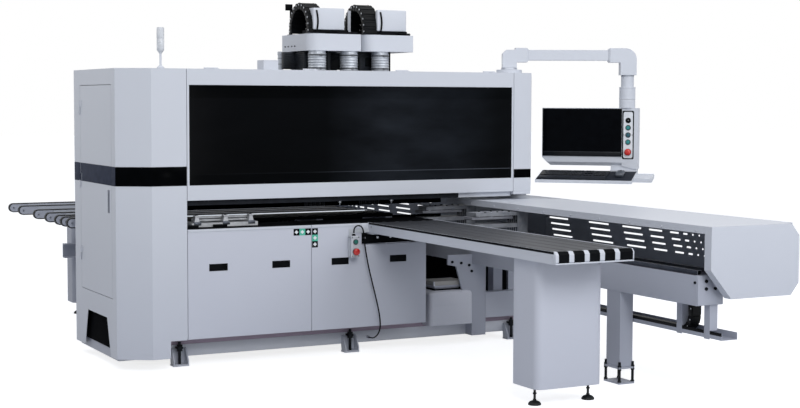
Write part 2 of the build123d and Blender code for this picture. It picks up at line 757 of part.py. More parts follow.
def electrical_plate():
    """Mounting plate on the left column's inner wall with drives, rails and wiring duct."""
    wall = -SHEET
    face = wall - PLATE_T
    plate_y1 = PLATE_Y0 + PLATE_W
    row_y0 = PLATE_Y0 + ROW_INSET
    pieces = [block(face, wall, PLATE_Y0, plate_y1, PLATE_BOTTOM, PLATE_TOP)]
    for i in range(DRIVES):
        y = row_y0 + i * DRIVE_PITCH
        pieces.append(block(face - DRIVE_D, face, y, y + DRIVE_W, DRIVE_Z, DRIVE_Z + DRIVE_H))
    for i in range(TERMINALS):
        y = row_y0 + i * TERMINAL_PITCH
        pieces.append(block(face - TERMINAL_D, face, y, y + TERMINAL_W, TERMINAL_Z, TERMINAL_Z + TERMINAL_H))
    for z in DUCT_ZS:
        pieces.append(block(face - DUCT_D, face, PLATE_Y0 + DUCT_INSET, plate_y1 - DUCT_INSET, z, z + DUCT_H))
    pieces.append(block(face - SUPPLY_D, face, PLATE_Y0 + SUPPLY_INSET, plate_y1 - SUPPLY_INSET, SUPPLY_Z,
                        SUPPLY_Z + SUPPLY_H))
    return fuse(pieces)


nodes["electrical_plate"] = electrical_plate()

# Work table slats
slats = []
for first, count in ((FRONT_TABLE_Y0, FRONT_SLATS), (rear_table_y0, REAR_SLATS)):
    for i in range(count):
        y = first + i * (SLAT_W + SLAT_GAP)
        slats.append(block(TABLE_LEFT, table_right, y, y + SLAT_W, slat_bottom, TABLE_TOP))
nodes["work_table"] = Compound(children=slats)


def side_fence():
    """Left-hand aligning plate with its two stop posts, and the round guide bar at the table's back edge."""
    x0, x1, y0, y1 = FENCE_PLATE
    plate = block(x0, x1, y0, y1, TABLE_TOP, TABLE_TOP + FENCE_T)
    plate -= block(x0 + 60, x1 - 90, y0 + 50, y1 - 50, TABLE_TOP - 1, TABLE_TOP + FENCE_T + 1)
    pieces = [plate]
    for x in (x0 + 20, x0 + 210, x1 - 60):
        post = front_prism([(x, TABLE_TOP + FENCE_T), (x + 36, TABLE_TOP + FENCE_T),
                            (x + 28, TABLE_TOP + FENCE_T + FENCE_H), (x + 8, TABLE_TOP + FENCE_T + FENCE_H)],
                           y0 + 10, y0 + 40)
        pieces.append(post)
    bar_y = HOUSE_D + GUIDE_BAR_R + 12
    bar_z = TABLE_TOP - GUIDE_BAR_R
    bar = rod_x(stand_xs[0], table_right, bar_y, bar_z, GUIDE_BAR_R)
    carriers = [block(x, x + 20, HOUSE_D - SHEET, bar_y, bar_z - 8, bar_z + 2)
                for x in (stand_xs[0] + 10, stand_xs[3])]
    return Compound(children=[fuse(pieces), fuse([bar] + carriers)])


nodes["side_fence"] = side_fence()


def panel_shell(outline, pull_xs):
    """Folded sheet panel with pull pockets pressed into its face."""
    face = make_face(Polyline(*outline, close=True))
    inner = offset(face, amount=-SHEET, kind=Kind.INTERSECTION)
    shell = extrude(Plane.XZ.offset(-PANEL_DEPTH) * face, amount=PANEL_DEPTH)
    shell -= extrude(Plane.XZ.offset(-PANEL_DEPTH - 1) * inner, amount=PANEL_DEPTH + 1 - SHEET)
    half_w, half_h = PULL_W / 2, PULL_H / 2
    for x in pull_xs:
        shell += block(x - half_w - PULL_WALL, x + half_w + PULL_WALL, 0, PULL_DEPTH,
                       PULL_Z - half_h - PULL_WALL, PULL_Z + half_h + PULL_WALL)
        shell -= block(x - half_w, x + half_w, -1, PULL_DEPTH - PULL_WALL, PULL_Z - half_h, PULL_Z + half_h)
    return shell


left_outline = [(SEAM, PANEL_BOTTOM), (panel_w - SEAM / 2, PANEL_BOTTOM), (panel_w - SEAM / 2, PANEL_TOP),
                (SEAM, PANEL_TOP)]
right_x0 = panel_w + SEAM / 2
right_x1 = 2 * panel_w - SEAM / 2
right_outline = [(right_x0, PANEL_BOTTOM), (right_x1, PANEL_BOTTOM), (right_x1, PANEL_STEP_TOP),
                 (panel_step_x, PANEL_STEP_TOP), (panel_step_x, PANEL_TOP), (right_x0, PANEL_TOP)]
nodes["front_panel_left"] = panel_shell(left_outline, left_pull_xs)
nodes["front_panel_right"] = panel_shell(right_outline, right_pull_xs)

# Infeed belt table
drum_z = TABLE_TOP - DRUM_R - GAP - BELT_T
front_drum_y = CONV_FRONT + DRUM_R + GAP + BELT_T
back_drum_y = CONV_BACK - 47
belt_span = BELTS * BELT_W + (BELTS - 1) * BELT_SPACE
belt_x0 = conv_x0 + (CONV_W - belt_span) / 2
belt_xs = [belt_x0 + i * (BELT_W + BELT_SPACE) for i in range(BELTS)]
conv_bottom = TABLE_TOP - CONV_H
shaft_x0 = conv_x0 + 1
shaft_x1 = conv_x1 - 1


def conveyor_frame():
    """Side plates, slider bed with ridges between the belts, end comb, cross plates and rear bracket."""
    side = [(CONV_BACK, conv_bottom), (CONV_FRONT + 16, conv_bottom), (CONV_FRONT + 2, conv_bottom + 14),
            (CONV_FRONT + 2, TABLE_TOP - 14), (CONV_FRONT + 16, TABLE_TOP), (CONV_BACK, TABLE_TOP)]
    bed_y0 = front_drum_y + DRUM_R + 6
    bed_y1 = back_drum_y - DRUM_R - 6
    pieces = [side_prism(side, conv_x0, conv_x0 + CONV_PLATE), side_prism(side, conv_x1 - CONV_PLATE, conv_x1)]
    pieces.append(block(conv_x0 + CONV_PLATE, conv_x1 - CONV_PLATE, bed_y0, bed_y1,
                        drum_z - DRUM_R, drum_z + DRUM_R))
    tab = [(bed_y0, conv_bottom + 3), (CONV_FRONT + 14, conv_bottom + 3), (CONV_FRONT + 2, conv_bottom + 15),
           (CONV_FRONT + 2, TABLE_TOP - 13), (CONV_FRONT + 14, TABLE_TOP - 1), (bed_y0, TABLE_TOP - 1)]
    for x in belt_xs[1:]:
        middle = x - BELT_SPACE / 2
        pieces.append(side_prism(tab, middle - TAB_W / 2, middle + TAB_W / 2))
        pieces.append(block(middle - TAB_W / 2, middle + TAB_W / 2, bed_y0, bed_y1, drum_z, TABLE_TOP - 1))
    leg_y1 = leg_y0 + LEG_D
    pieces.append(block(conv_x0 + CONV_PLATE, conv_x1 - CONV_PLATE, leg_y0, leg_y1, conv_bottom, conv_bottom + 6))
    bracket_y = PANEL_DEPTH + 6
    pieces.append(block(conv_x0 + 20, table_right, bracket_y, bracket_y + 12, PANEL_STEP_TOP + 10, bearer_bottom))
    pieces.append(block(conv_x0, table_right, -60, bracket_y + 12, conv_bottom - 8, conv_bottom))
    frame = fuse(pieces) - block(conv_x0 + CONV_PLATE, conv_x1 - CONV_PLATE, bed_y0 - 1, bed_y1 + 1,
                                 drum_z - DRUM_R + TUBE_WALL, drum_z + DRUM_R - TUBE_WALL)
    for y in (front_drum_y, back_drum_y):
        frame -= rod_x(conv_x0 - 1, conv_x1 + 1, y, drum_z, SHAFT_R + GAP)
    return frame


def conveyor_drums(y):
    """Shaft with one drum under each belt."""
    drums = [rod_x(x, x + BELT_W, y, drum_z, DRUM_R) for x in belt_xs]
    return fuse([rod_x(shaft_x0, shaft_x1, y, drum_z, SHAFT_R)] + drums)


nodes["conveyor_frame"] = conveyor_frame()
nodes["conveyor_belts"] = Compound(children=[
    loop_y(front_drum_y, back_drum_y, drum_z, DRUM_R + GAP, BELT_T, x, x + BELT_W) for x in belt_xs])
nodes["conveyor_end_drums"] = conveyor_drums(front_drum_y)
nodes["conveyor_drive_drums"] = conveyor_drums(back_drum_y)


def leg_box(x0, y0, width, depth, top):
    """Folded sheet leg with rounded upright corners, open underneath, with a floor plate for its studs."""
    centre = Pos(x0 + width / 2, y0 + depth / 2, LEG_BOTTOM)
    outer = extrude(RectangleRounded(width, depth, LEG_R), amount=top - LEG_BOTTOM)
    inner = extrude(RectangleRounded(width - 2 * SHEET, depth - 2 * SHEET, LEG_R - SHEET),
                    amount=top - LEG_BOTTOM - 2 * SHEET)
    return centre * (outer - Pos(0, 0, SHEET) * inner)


conveyor_leg = leg_box(leg_x0, leg_y0, leg_w, LEG_D, conv_bottom)
for inset in (40, leg_w - 40):
    conveyor_leg -= rod_z(leg_x0 + inset, leg_y0 + 0.3 * LEG_D, LEG_BOTTOM - 1, LEG_BOTTOM + SHEET, STUD_R)
nodes["conveyor_leg"] = conveyor_leg

# Gripper beam: box tube with end brackets, and two tracks on its top
beam_rear = CAP_REAR - (BEAM_FRONT - cap_front)
beam_tube = block(beam_x0, beam_x1, BEAM_FRONT, beam_rear, BEAM_BOTTOM, BEAM_TOP)
beam_tube -= block(beam_x0 + BEAM_WALL, beam_x1 - BEAM_WALL, BEAM_FRONT - 1, beam_rear + 1,
                   BEAM_BOTTOM + BEAM_WALL, BEAM_TOP - BEAM_WALL)
bracket_z0 = BEAM_TOP - 64
mid_wall = BEAM_WALL / 2
for y0, y1 in ((cap_front + SHEET, BEAM_FRONT + 60), (beam_rear - 60, CAP_REAR - SHEET)):
    beam_tube += block(beam_x1 - 70, beam_x1 - mid_wall, y0, y1, bracket_z0, BEAM_TOP - mid_wall)
tracks = [block(x - TRACK_W / 2, x + TRACK_W / 2, BEAM_FRONT + 20, beam_rear - 20, BEAM_TOP, BEAM_TOP + TRACK_H)
          for x in track_xs]
nodes["gripper_beam"] = Compound(children=[beam_tube] + tracks)


def end_cap(y0, y1, open_y0, open_y1):
    """Tray-shaped end cap with chamfered corners and a slanted lower left edge."""
    corner_x = beam_cover_x1 - CAP_CHAMFER_X
    outline = [(beam_x0, COVER_TOP), (corner_x, COVER_TOP), (beam_cover_x1, COVER_TOP - CAP_CHAMFER_Z),
               (beam_cover_x1, CAP_BOTTOM + CAP_CHAMFER_Z), (corner_x, CAP_BOTTOM),
               (beam_x0 + CAP_CUT_X, CAP_BOTTOM), (beam_x0, CAP_BOTTOM + CAP_CUT_Z)]
    face = make_face(Polyline(*outline, close=True))
    inner = offset(face, amount=-SHEET, kind=Kind.INTERSECTION)
    tray = extrude(Plane.XZ.offset(-y1) * face, amount=y1 - y0)
    tray -= extrude(Plane.XZ.offset(-open_y1) * inner, amount=open_y1 - open_y0)
    return tray


cover_y0 = cap_front + CAP_DEPTH
cover_y1 = CAP_REAR - CAP_DEPTH
guard_x0 = beam_cover_x1 - 2 * SHEET


def beam_cover():
    """Folded top sheets with a lip on the table side; the middle stays open for the gantry."""
    pieces = [end_cap(cap_front, cover_y0, cap_front + SHEET, cover_y0 + 1),
              end_cap(cover_y1, CAP_REAR, cover_y1 - 1, CAP_REAR - SHEET)]
    for y0, y1 in ((cover_y0, COVER_BACK), (HOUSE_D + SEAM, cover_y1)):
        sheet = fuse([
            block(beam_x0, beam_cover_x1, y0, y1, COVER_TOP - SHEET, COVER_TOP),
            block(beam_x0, beam_x0 + SHEET, y0, y1, COVER_TOP - COVER_LIP, COVER_TOP),
            block(beam_cover_x1 - SHEET, beam_cover_x1, y0, y1, COVER_TOP - COVER_LIP, COVER_TOP),
        ])
        pieces.append(sheet)
    return Compound(children=pieces)


def slot_outline(length):
    """Slot with cut corners, about its middle."""
    half, tip = length / 2, SLOT_H / 4
    low, rise = SLOT_H / 2, SLOT_H / 4
    return Polyline((-half + tip, -low), (half - tip, -low), (half, -rise), (half, rise), (half - tip, low),
                    (-half + tip, low), (-half, rise), (-half, -rise), close=True)


def beam_guard():
    """Upright guard with four rows of graded slots, folded to a floor that meets the beam."""
    face = Pos((cover_y0 + cover_y1) / 2, (GUARD_FLOOR + COVER_TOP - SHEET) / 2) * Rectangle(
        cover_y1 - cover_y0, COVER_TOP - SHEET - GUARD_FLOOR)
    holes = []
    for y, length in zip(SLOT_YS, SLOT_LENGTHS):
        hole = make_face(slot_outline(length))
        first = y - SLOT_STAGGER * (SLOT_ROWS - 1) / 2
        holes += [Pos(first + row * SLOT_STAGGER, SLOT_ROW_Z + row * SLOT_PITCH) * hole for row in range(SLOT_ROWS)]
    face = face - holes
    wall = extrude(Plane.YZ.offset(guard_x0) * face, amount=SHEET)
    return wall + block(beam_x1, guard_x0, cover_y0, cover_y1, GUARD_FLOOR, GUARD_FLOOR + SHEET)


nodes["beam_cover"] = beam_cover()
nodes["beam_guard"] = beam_guard()


def beam_leg(y):
    """Tube leg on a double foot plate with four jacking bolts."""
    half_w, half_d = BEAM_PLATE_W / 2, BEAM_PLATE_D / 2
    low = block(beam_leg_x - half_w, beam_leg_x + half_w, y - half_d, y + half_d, 0, BEAM_PLATE_T)
    high = Pos(0, 0, BEAM_PLATE_Z) * low
    tube = block(beam_leg_x - BEAM_LEG_W / 2, beam_leg_x + BEAM_LEG_W / 2, y - BEAM_LEG_D / 2, y + BEAM_LEG_D / 2,
                 BEAM_PLATE_Z, BEAM_BOTTOM)
    pieces = [low, high, tube]
    for dx in (-half_w + BEAM_BOLT_R, half_w - BEAM_BOLT_R):
        for dy in (-half_d + BEAM_BOLT_R, half_d - BEAM_BOLT_R):
            pieces.append(rod_z(beam_leg_x + dx, y + dy, BEAM_PLATE_T, BEAM_PLATE_Z + 40, BEAM_BOLT_R))
    return fuse(pieces)


def pedestal(y0):
    """Column that carries the beam on the base, with a tapering head plate bolted to the beam's side."""
    x0 = beam_x0 + GAP
    low = BEAM_BOTTOM - PEDESTAL_HEAD_T
    column = block(x0, beam_x0 + PEDESTAL_W, y0, y0 + PEDESTAL_D, BASE_BOTTOM, BEAM_BOTTOM)
    high = BEAM_BOTTOM + PEDESTAL_RISE
    head_x0 = beam_x0 - PEDESTAL_HEAD
    head = front_prism([(x0, PEDESTAL_WEB_Z), (x0, BEAM_BOTTOM), (beam_x0, BEAM_BOTTOM), (beam_x0, high),
                        (head_x0, high), (head_x0, BEAM_BOTTOM), (beam_x0 - PEDESTAL_WAIST, low),
                        (beam_x0 - PEDESTAL_TOE, PEDESTAL_WEB_Z)], y0, y0 + PEDESTAL_HEAD_T)
    return column + head


prop_x0 = beam_x1 + PROP_OUT
prop_y0 = FRONT_RAIL_Y + (RAIL_W - PROP_W) / 2
prop = block(prop_x0, prop_x0 + PROP_W, prop_y0, prop_y0 + PROP_W, BASE_TOP, GUARD_FLOOR)
nodes["beam_legs"] = Compound(children=[beam_leg(y) for y in BEAM_LEG_YS]
                              + [pedestal(FRONT_RAIL_Y - PEDESTAL_D), pedestal(rear_face), prop])


def energy_chain(points, x, width, height, gap):
    """Plastic energy chain along a path of link joints in the Y-Z plane: open links on a narrower running core."""
    pieces = []
    for (y0, z0), (y1, z1) in zip(points, points[1:]):
        length = math.hypot(y1 - y0, z1 - z0)
        turn = math.degrees(math.atan2(z1 - z0, y1 - y0))
        link = Box(width, length - gap, height) + Box(width - 4 * gap, length + gap, height - 4 * gap)
        pieces.append(Pos(x, (y0 + y1) / 2, (z0 + z1) / 2) * Rot(turn, 0, 0) * link)
    return fuse(pieces)


def cable_tray():
    """Hung channel with the gripper's energy chain lying in it and curling up to the beam."""
    x1 = tray_x0 + TRAY_W
    channel = block(tray_x0, x1, tray_front, TRAY_BACK, TRAY_Z, TRAY_Z + TRAY_H)
    channel -= block(tray_x0 + SHEET, x1 - SHEET, tray_front - 1, TRAY_BACK + 1, TRAY_Z + SHEET, TRAY_Z + TRAY_H + 1)
    pieces = [channel]
    for y in hanger_ys:
        pieces.append(block(tray_x0 - SHEET, tray_x0, y, y + HANGER_W, TRAY_Z - 6, BEAM_BOTTOM))
    tray = fuse(pieces)
    low = TRAY_Z + SHEET + CHAIN_H / 2
    radius = (BEAM_BOTTOM - low) / 2
    path = [(TRAY_BACK - 20 - i * LINK, low) for i in range(TRAY_LINKS + 1)]
    bend_y = path[-1][0]
    for i in range(1, TRAY_BEND_LINKS + 1):
        angle = math.radians(90 * i / TRAY_BEND_LINKS)
        path.append((bend_y - radius * math.sin(angle), low + radius * (1 - math.cos(angle))))
    path.append((bend_y - radius, BEAM_BOTTOM - CHAIN_GAP / 2))
    chain_x = tray_x0 + SHEET + CHAIN_W / 2 + 6
    return Compound(children=[tray, energy_chain(path, chain_x, CHAIN_W, CHAIN_H, CHAIN_GAP)])


nodes["cable_tray"] = cable_tray()


def pump_unit():
    """Pump cabinet with rounded edges that hangs over the base's front rail, and a boat-shaped lid on a stem."""
    y0 = FRONT_RAIL_Y - PUMP_AHEAD
    x1 = pump_x0 + PUMP_W
    body = block(pump_x0, x1, y0, y0 + PUMP_D, PUMP_BOTTOM, PUMP_TOP)
    body = fillet(body.edges().filter_by(Axis.Z) + body.edges().group_by(Axis.Z)[-1], PUMP_R)
    body -= block(pump_x0 - 1, x1 + 1, FRONT_RAIL_Y, y0 + PUMP_D + 1, PUMP_BOTTOM - 1, BASE_TOP)
    lid_x0 = pump_x0 + PUMP_LID_INSET
    lid_y0 = FRONT_RAIL_Y - PUMP_STEM_INSET + GAP
    lid_z0 = PUMP_TOP + PUMP_STEM_H
    lid = block(lid_x0, lid_x0 + PUMP_LID_W, lid_y0, lid_y0 + PUMP_LID_D, lid_z0, lid_z0 + PUMP_LID_H)
    lid = chamfer(lid.edges().group_by(Axis.Z)[0], PUMP_LID_EDGE)
    stem = block(lid_x0 + PUMP_STEM_INSET, lid_x0 + PUMP_LID_W - PUMP_STEM_INSET, lid_y0 + PUMP_STEM_INSET,
                 lid_y0 + PUMP_LID_D - PUMP_STEM_INSET, PUMP_TOP, lid_z0)
    return fuse([body, lid, stem])


nodes["pump_unit"] = pump_unit()

# Outfeed: belt arms along X on two cross beams along Y
arm_z = ARM_TOP - ARM_H / 2
pulley_r = ARM_H / 2 - ARM_BELT_T - GAP


def outfeed_arm(y):
    """Web between two long side plates with round ends that carry the pulley pins."""
    length = ARM_PULLEY_X1 - ARM_PULLEY_X0
    plate_r = pulley_r - 2
    middle = (ARM_PULLEY_X0 + ARM_PULLEY_X1) / 2
    pieces = [block(ARM_PULLEY_X0 + pulley_r + 8, ARM_PULLEY_X1 - pulley_r - 8, y - ARM_W / 2, y + ARM_W / 2,
                    arm_z - plate_r, arm_z + plate_r)]
    for y1 in (y + ARM_W / 2, y - ARM_W / 2 + ARM_PLATE):
        plate = Plane.XZ.offset(-y1) * Pos(middle, arm_z) * SlotOverall(length + 2 * plate_r, 2 * plate_r)
        pieces.append(extrude(plate, amount=ARM_PLATE))
    arm = fuse(pieces)
    for x in (ARM_PULLEY_X0, ARM_PULLEY_X1):
        arm -= rod_y(x, y - ARM_W, y + ARM_W, arm_z, ARM_PIN_R + GAP)
    return arm


def outfeed_pulleys(x):
    """One pulley and pin in each arm's end."""
    wheels = []
    for y in arm_ys:
        half = ARM_W / 2 - ARM_PLATE - 1
        wheel = rod_y(x, y - half, y + half, arm_z, pulley_r) + rod_y(x, y - ARM_W / 2 - 6, y + ARM_W / 2 + 6, arm_z,
                                                                      ARM_PIN_R)
        wheels.append(wheel)
    return Compound(children=wheels)


def outfeed_shaft(x):
    """Drive shaft through every arm, with a pulley in each."""
    half = ARM_W / 2 - ARM_PLATE - 1
    shaft = rod_y(x, arm_ys[0] - 60, arm_ys[-1] + 60, arm_z, ARM_PIN_R)
    return fuse([shaft] + [rod_y(x, y - half, y + half, arm_z, pulley_r) for y in arm_ys])


def outfeed_frame():
    """Seven arms on saddle brackets, two cross beams, two leg boxes and a side rail."""
    pieces = []
    for x in CROSS_XS:
        pieces.append(block(x, x + CROSS_W, HOUSE_D, cross_back, CROSS_TOP - CROSS_H, CROSS_TOP))
        pieces.append(leg_box(x - 10, rear_leg_y0, REAR_LEG_W, REAR_LEG_D, CROSS_TOP - CROSS_H))
        for y in arm_ys:
            for side in (-1, 1):
                near, far = sorted((y + side * ARM_W / 2, y + side * (ARM_W / 2 + 6)))
                pieces.append(block(x + 8, x + CROSS_W - 8, near, far, CROSS_TOP, arm_z + 12))
    rail = block(CROSS_XS[0] - 90, CROSS_XS[1] + CROSS_W, rear_leg_y0 - 62, rear_leg_y0, SIDE_RAIL_Z,
                 SIDE_RAIL_Z + SIDE_RAIL_H)
    rail -= block(CROSS_XS[0] - 91, CROSS_XS[1] + CROSS_W + 1, rear_leg_y0 - 63, rear_leg_y0 - 6, SIDE_RAIL_Z + 8,
                  SIDE_RAIL_Z + SIDE_RAIL_H - 8)
    pieces.append(rail)
    return fuse(pieces + [outfeed_arm(y) for y in arm_ys])


nodes["outfeed_frame"] = outfeed_frame()
nodes["outfeed_belts"] = Compound(children=[
    loop_x(ARM_PULLEY_X0, ARM_PULLEY_X1, arm_z, pulley_r + GAP, ARM_BELT_T, y - ARM_W / 2 + 1, y + ARM_W / 2 - 1)
    for y in arm_ys])
nodes["outfeed_end_pulleys"] = outfeed_pulleys(ARM_PULLEY_X0)
nodes["outfeed_drive_shaft"] = outfeed_shaft(ARM_PULLEY_X1)

# Tower light on the left column: foot, pole and lens tube
light_profile = Polyline((0, HOUSE_TOP), (LIGHT_R, HOUSE_TOP), (LIGHT_R, HOUSE_TOP + 14),
                         (LIGHT_POLE_R, HOUSE_TOP + 26), (LIGHT_POLE_R, LIGHT_Z0 - 22), (LIGHT_R, LIGHT_Z0),
                         (LIGHT_R, LIGHT_TOP - 6), (LIGHT_R - 6, LIGHT_TOP), (0, LIGHT_TOP), close=True)
nodes["tower_light"] = Pos(LIGHT_X, LIGHT_Y, 0) * revolve(Plane.XZ * make_face(light_profile), Axis.Z)


def hood_frame():
    """Folded hood with a window, a grey dust skirt set back under it, and its half of the hinges."""
    x0, x1 = SEAM, HOOD_W - SEAM
    frame = block(x0, x1, 0, HOOD_DEPTH, HOOD_BOTTOM, HOUSE_TOP)
    frame -= block(x0 + SHEET, x1 - SHEET, HOOD_FACE_T, HOOD_DEPTH + 1, HOOD_BOTTOM + SHEET, HOUSE_TOP - SHEET)
    frame -= block(GLASS_MARGIN, HOOD_W - GLASS_MARGIN, -1, HOOD_FACE_T + 1, GLASS_BOTTOM, GLASS_TOP)
    pieces = [frame, block(x0, x1, HOOD_DEPTH - SKIRT_T, HOOD_DEPTH, HOOD_BOTTOM - SKIRT_DROP, HOOD_BOTTOM + SHEET)]
    for x in hood_hinge_xs:
        pieces += hood_knuckle(x, -1)
    return fuse(pieces)


nodes["hood_frame"] = hood_frame()
nodes["hood_glass"] = block(GLASS_MARGIN - GLASS_LAP + SHEET, HOOD_W - GLASS_MARGIN + GLASS_LAP - SHEET, HOOD_FACE_T,
                            HOOD_FACE_T + GLASS_T, GLASS_BOTTOM - GLASS_LAP, GLASS_TOP + GLASS_LAP)


def side_door():
    """Folded door tray with a recessed pull near its front edge."""
    x1 = left_x + DOOR_DEPTH
    door = block(left_x, x1, DOOR_Y0, DOOR_Y1, DOOR_BOTTOM, DOOR_TOP)
    door -= block(left_x + SHEET, x1 + 1, DOOR_Y0 + SHEET, DOOR_Y1 - SHEET, DOOR_BOTTOM + SHEET, DOOR_TOP - SHEET)
    door += block(left_x, left_x + DOOR_DEPTH - 4, DOOR_PULL_Y - 3, DOOR_PULL_Y + DOOR_PULL_W + 3, DOOR_PULL_Z0 - 3,
                  DOOR_PULL_Z1 + 3)
    door -= block(left_x - 1, left_x + DOOR_DEPTH - 7, DOOR_PULL_Y, DOOR_PULL_Y + DOOR_PULL_W, DOOR_PULL_Z0,
                  DOOR_PULL_Z1)
    return fuse([door] + [door_knuckle(z, -1) for z in DOOR_HINGE_ZS])


nodes["side_door"] = side_door()

# Upper heads
saddle_y0 = gantry_y0 - GUIDE_H - 36
tray_top = HEAD_TRAY_Z + HEAD_TRAY_H


def tray_slab(x0, x1, inset, z0, z1):
    """Slab of the top tray's outline, with its large front left corner, drawn in by an inset."""
    slab = block(x0 + inset, x1 - inset, head_tray_y0 + inset, head_tray_y0 + HEAD_TRAY_D - inset, z0, z1)
    corner = slab.edges().filter_by(Axis.Z).sort_by(lambda edge: edge.center().X + edge.center().Y)[0]
    return fillet(corner, HEAD_TRAY_R - inset)


def head_carriage(x0, width, hose_xs, box_dx, box_dy, end_plate):
    """Saddle on four runner blocks, mast, dust-collecting top tray, hose spigots, cover box and side plates."""
    x1 = x0 + width
    saddle = block(x0 + 20, x1 - 20, saddle_y0, gantry_y0 - GUIDE_H - 6, GANTRY_BOTTOM, HEAD_TRAY_Z)
    pieces = [saddle]
    for z in GUIDE_ZS:
        for x in (x0 + 40, x1 - 110):
            runner = block(x, x + 70, gantry_y0 - GUIDE_H - 6, gantry_y0 - 6, z - 32, z + 32)
            runner -= block(x - 1, x + 71, gantry_y0 - GUIDE_H - GAP, gantry_y0, z - GUIDE_W / 2 - GAP,
                            z + GUIDE_W / 2 + GAP)
            pieces.append(runner)
    pieces.append(tray_slab(x0, x1, 0, HEAD_TRAY_Z, tray_top))
    for hose in hose_xs:
        x = x0 + hose
        pieces.append(rod_z(x, hose_y, SPIGOT_BOTTOM, HOSE_BOTTOM, SPIGOT_R))
        pieces.append(block(x + HOSE_R + 1, x + HOSE_R + 7, hose_y - 20, hose_y + 20, HOSE_BOTTOM - 60, HEAD_TRAY_Z))
        pieces.append(block(x, x + HOSE_R + 7, hose_y - 20, hose_y + 20, HOSE_BOTTOM - 60, HOSE_BOTTOM - 52))
    box_x = x0 + box_dx
    box_y = head_tray_y0 + box_dy
    box_z = tray_top + HEAD_BOX_LIFT
    cover = block(box_x, box_x + HEAD_BOX_W, box_y, box_y + HEAD_BOX_D, box_z, box_z + HEAD_BOX_H)
    edge = cover.edges().filter_by(Axis.Z).sort_by(lambda e: e.center().X + e.center().Y)[0]
    pieces.append(fillet(edge, HEAD_BOX_R))
    pieces.append(block(box_x + 12, box_x + HEAD_BOX_W - 12, box_y + 12, box_y + HEAD_BOX_D - 12, tray_top, box_z))
    plate_x1 = box_x - SIDE_PLATE_GAP
    pieces.append(block(plate_x1 - SIDE_PLATE_T, plate_x1, box_y, box_y + SIDE_PLATE_W, tray_top, box_z + HEAD_BOX_H))
    if end_plate:
        plate_y = head_tray_y0 + END_PLATE_Y
        pieces.append(block(x0, x0 + SIDE_PLATE_T, plate_y, plate_y + END_PLATE_W, tray_top, box_z + HEAD_BOX_H))
    carriage = fuse(pieces) - tray_slab(x0, x1, SHEET, HEAD_TRAY_Z + TUBE_WALL, tray_top - SHEET)
    bore = HOSE_R - HOSE_RIB - HOSE_WALL
    for hose in hose_xs:
        carriage -= rod_z(x0 + hose, hose_y, HEAD_TRAY_Z - 1, HEAD_TRAY_Z + TUBE_WALL + 1, bore)
        carriage -= rod_z(x0 + hose, hose_y, SPIGOT_BOTTOM - 1, HOSE_BOTTOM + 1, SPIGOT_R - HOSE_WALL)
    return carriage


def head_drill_block(x0, width):
    """Drill gearbox on the vertical slide, with two rows of drills, a spindle bore and the servo motor above."""
    x1 = x0 + width
    slide = block(x0 + 45, x1 - 45, saddle_y0 - 32, saddle_y0 - GAP, BLOCK_TOP - 40, GANTRY_TOP)
    gearbox = block(x0 + 18, x1 - 18, block_y0, block_y0 + BLOCK_D, BLOCK_BOTTOM, BLOCK_TOP)
    motor = block(x0 + MOTOR_X, x0 + MOTOR_X + MOTOR_W, motor_y0, motor_y0 + MOTOR_D, BLOCK_TOP, MOTOR_TOP)
    bridge = block(x0 + 45, x1 - 45, motor_y0, saddle_y0 - 32, BLOCK_TOP, BLOCK_TOP + 60)
    pieces = [gearbox, motor, bridge, slide]
    for i in range(5):
        x = x0 + 50 + DRILL_PITCH * i
        for y in (block_y0 + 60, block_y0 + 60 + DRILL_PITCH):
            pieces.append(rod_z(x, y, BLOCK_TIP, BLOCK_BOTTOM, DRILL_R))
    spindle_x = x1 - 70
    return fuse(pieces) - rod_z(spindle_x, block_y0 + 76, BLOCK_BOTTOM - 1, BLOCK_BOTTOM + 60, SPINDLE_R + GAP)


def head_spindle(x0, width):
    """Router spindle with its collet nut and cutter."""
    x = x0 + width - 70
    y = block_y0 + 76
    return fuse([rod_z(x, y, BLOCK_BOTTOM - 6, BLOCK_BOTTOM + 55, SPINDLE_R),
                 rod_z(x, y, BLOCK_BOTTOM - 20, BLOCK_BOTTOM - 6, 15),
                 block(x - 4, x + 4, y - 2, y + 2, BLOCK_TIP, BLOCK_BOTTOM - 20)])


def ribbed_hose(x, y, z0, z1):
    """Bored hose: straight cuffs, and ribs each drawn through four circles along X, then stood upright."""
    cuff = 2 * HOSE_WALL + 6
    length = z1 - z0
    pitch = (length - 2 * cuff) / HOSE_RIBS
    stations = [(0, HOSE_R - HOSE_RIB), (cuff, HOSE_R - HOSE_RIB)]
    for i in range(HOSE_RIBS):
        start = cuff + i * pitch
        stations += [(start + 0.25 * pitch, HOSE_R), (start + 0.6 * pitch, HOSE_R),
                     (start + 0.85 * pitch, HOSE_R - HOSE_RIB), (start + pitch, HOSE_R - HOSE_RIB)]
    stations.append((length, HOSE_R - HOSE_RIB))
    rings = [Plane.YZ.offset(at) * Circle(r) for at, r in stations]
    hose = loft(rings, ruled=True) - rod_x(-1, length + 1, 0, 0, HOSE_R - HOSE_RIB - HOSE_WALL)
    return Pos(x, y, z0) * Rot(0, -90, 0) * hose


def chain_arch(x0):
    """Energy chain that stands on the tray as an arch."""
    middle = head_tray_y0 + 45 + CHAIN_ARCH_R
    radius = CHAIN_ARCH_R - CHAIN_ARCH_T / 2
    spring = tray_top + CHAIN_ARCH_LEG
    gap = CHAIN_GAP
    path = [(middle - radius, tray_top + gap / 2)]
    for i in range(CHAIN_ARCH_LINKS + 1):
        angle = math.radians(180 - i * 180 / CHAIN_ARCH_LINKS)
        path.append((middle + radius * math.cos(angle), spring + radius * math.sin(angle)))
    path.append((middle + radius, tray_top + gap / 2))
    return energy_chain(path, x0 + CHAIN_ARCH_X + CHAIN_ARCH_W / 2, CHAIN_ARCH_W, CHAIN_ARCH_T, gap)


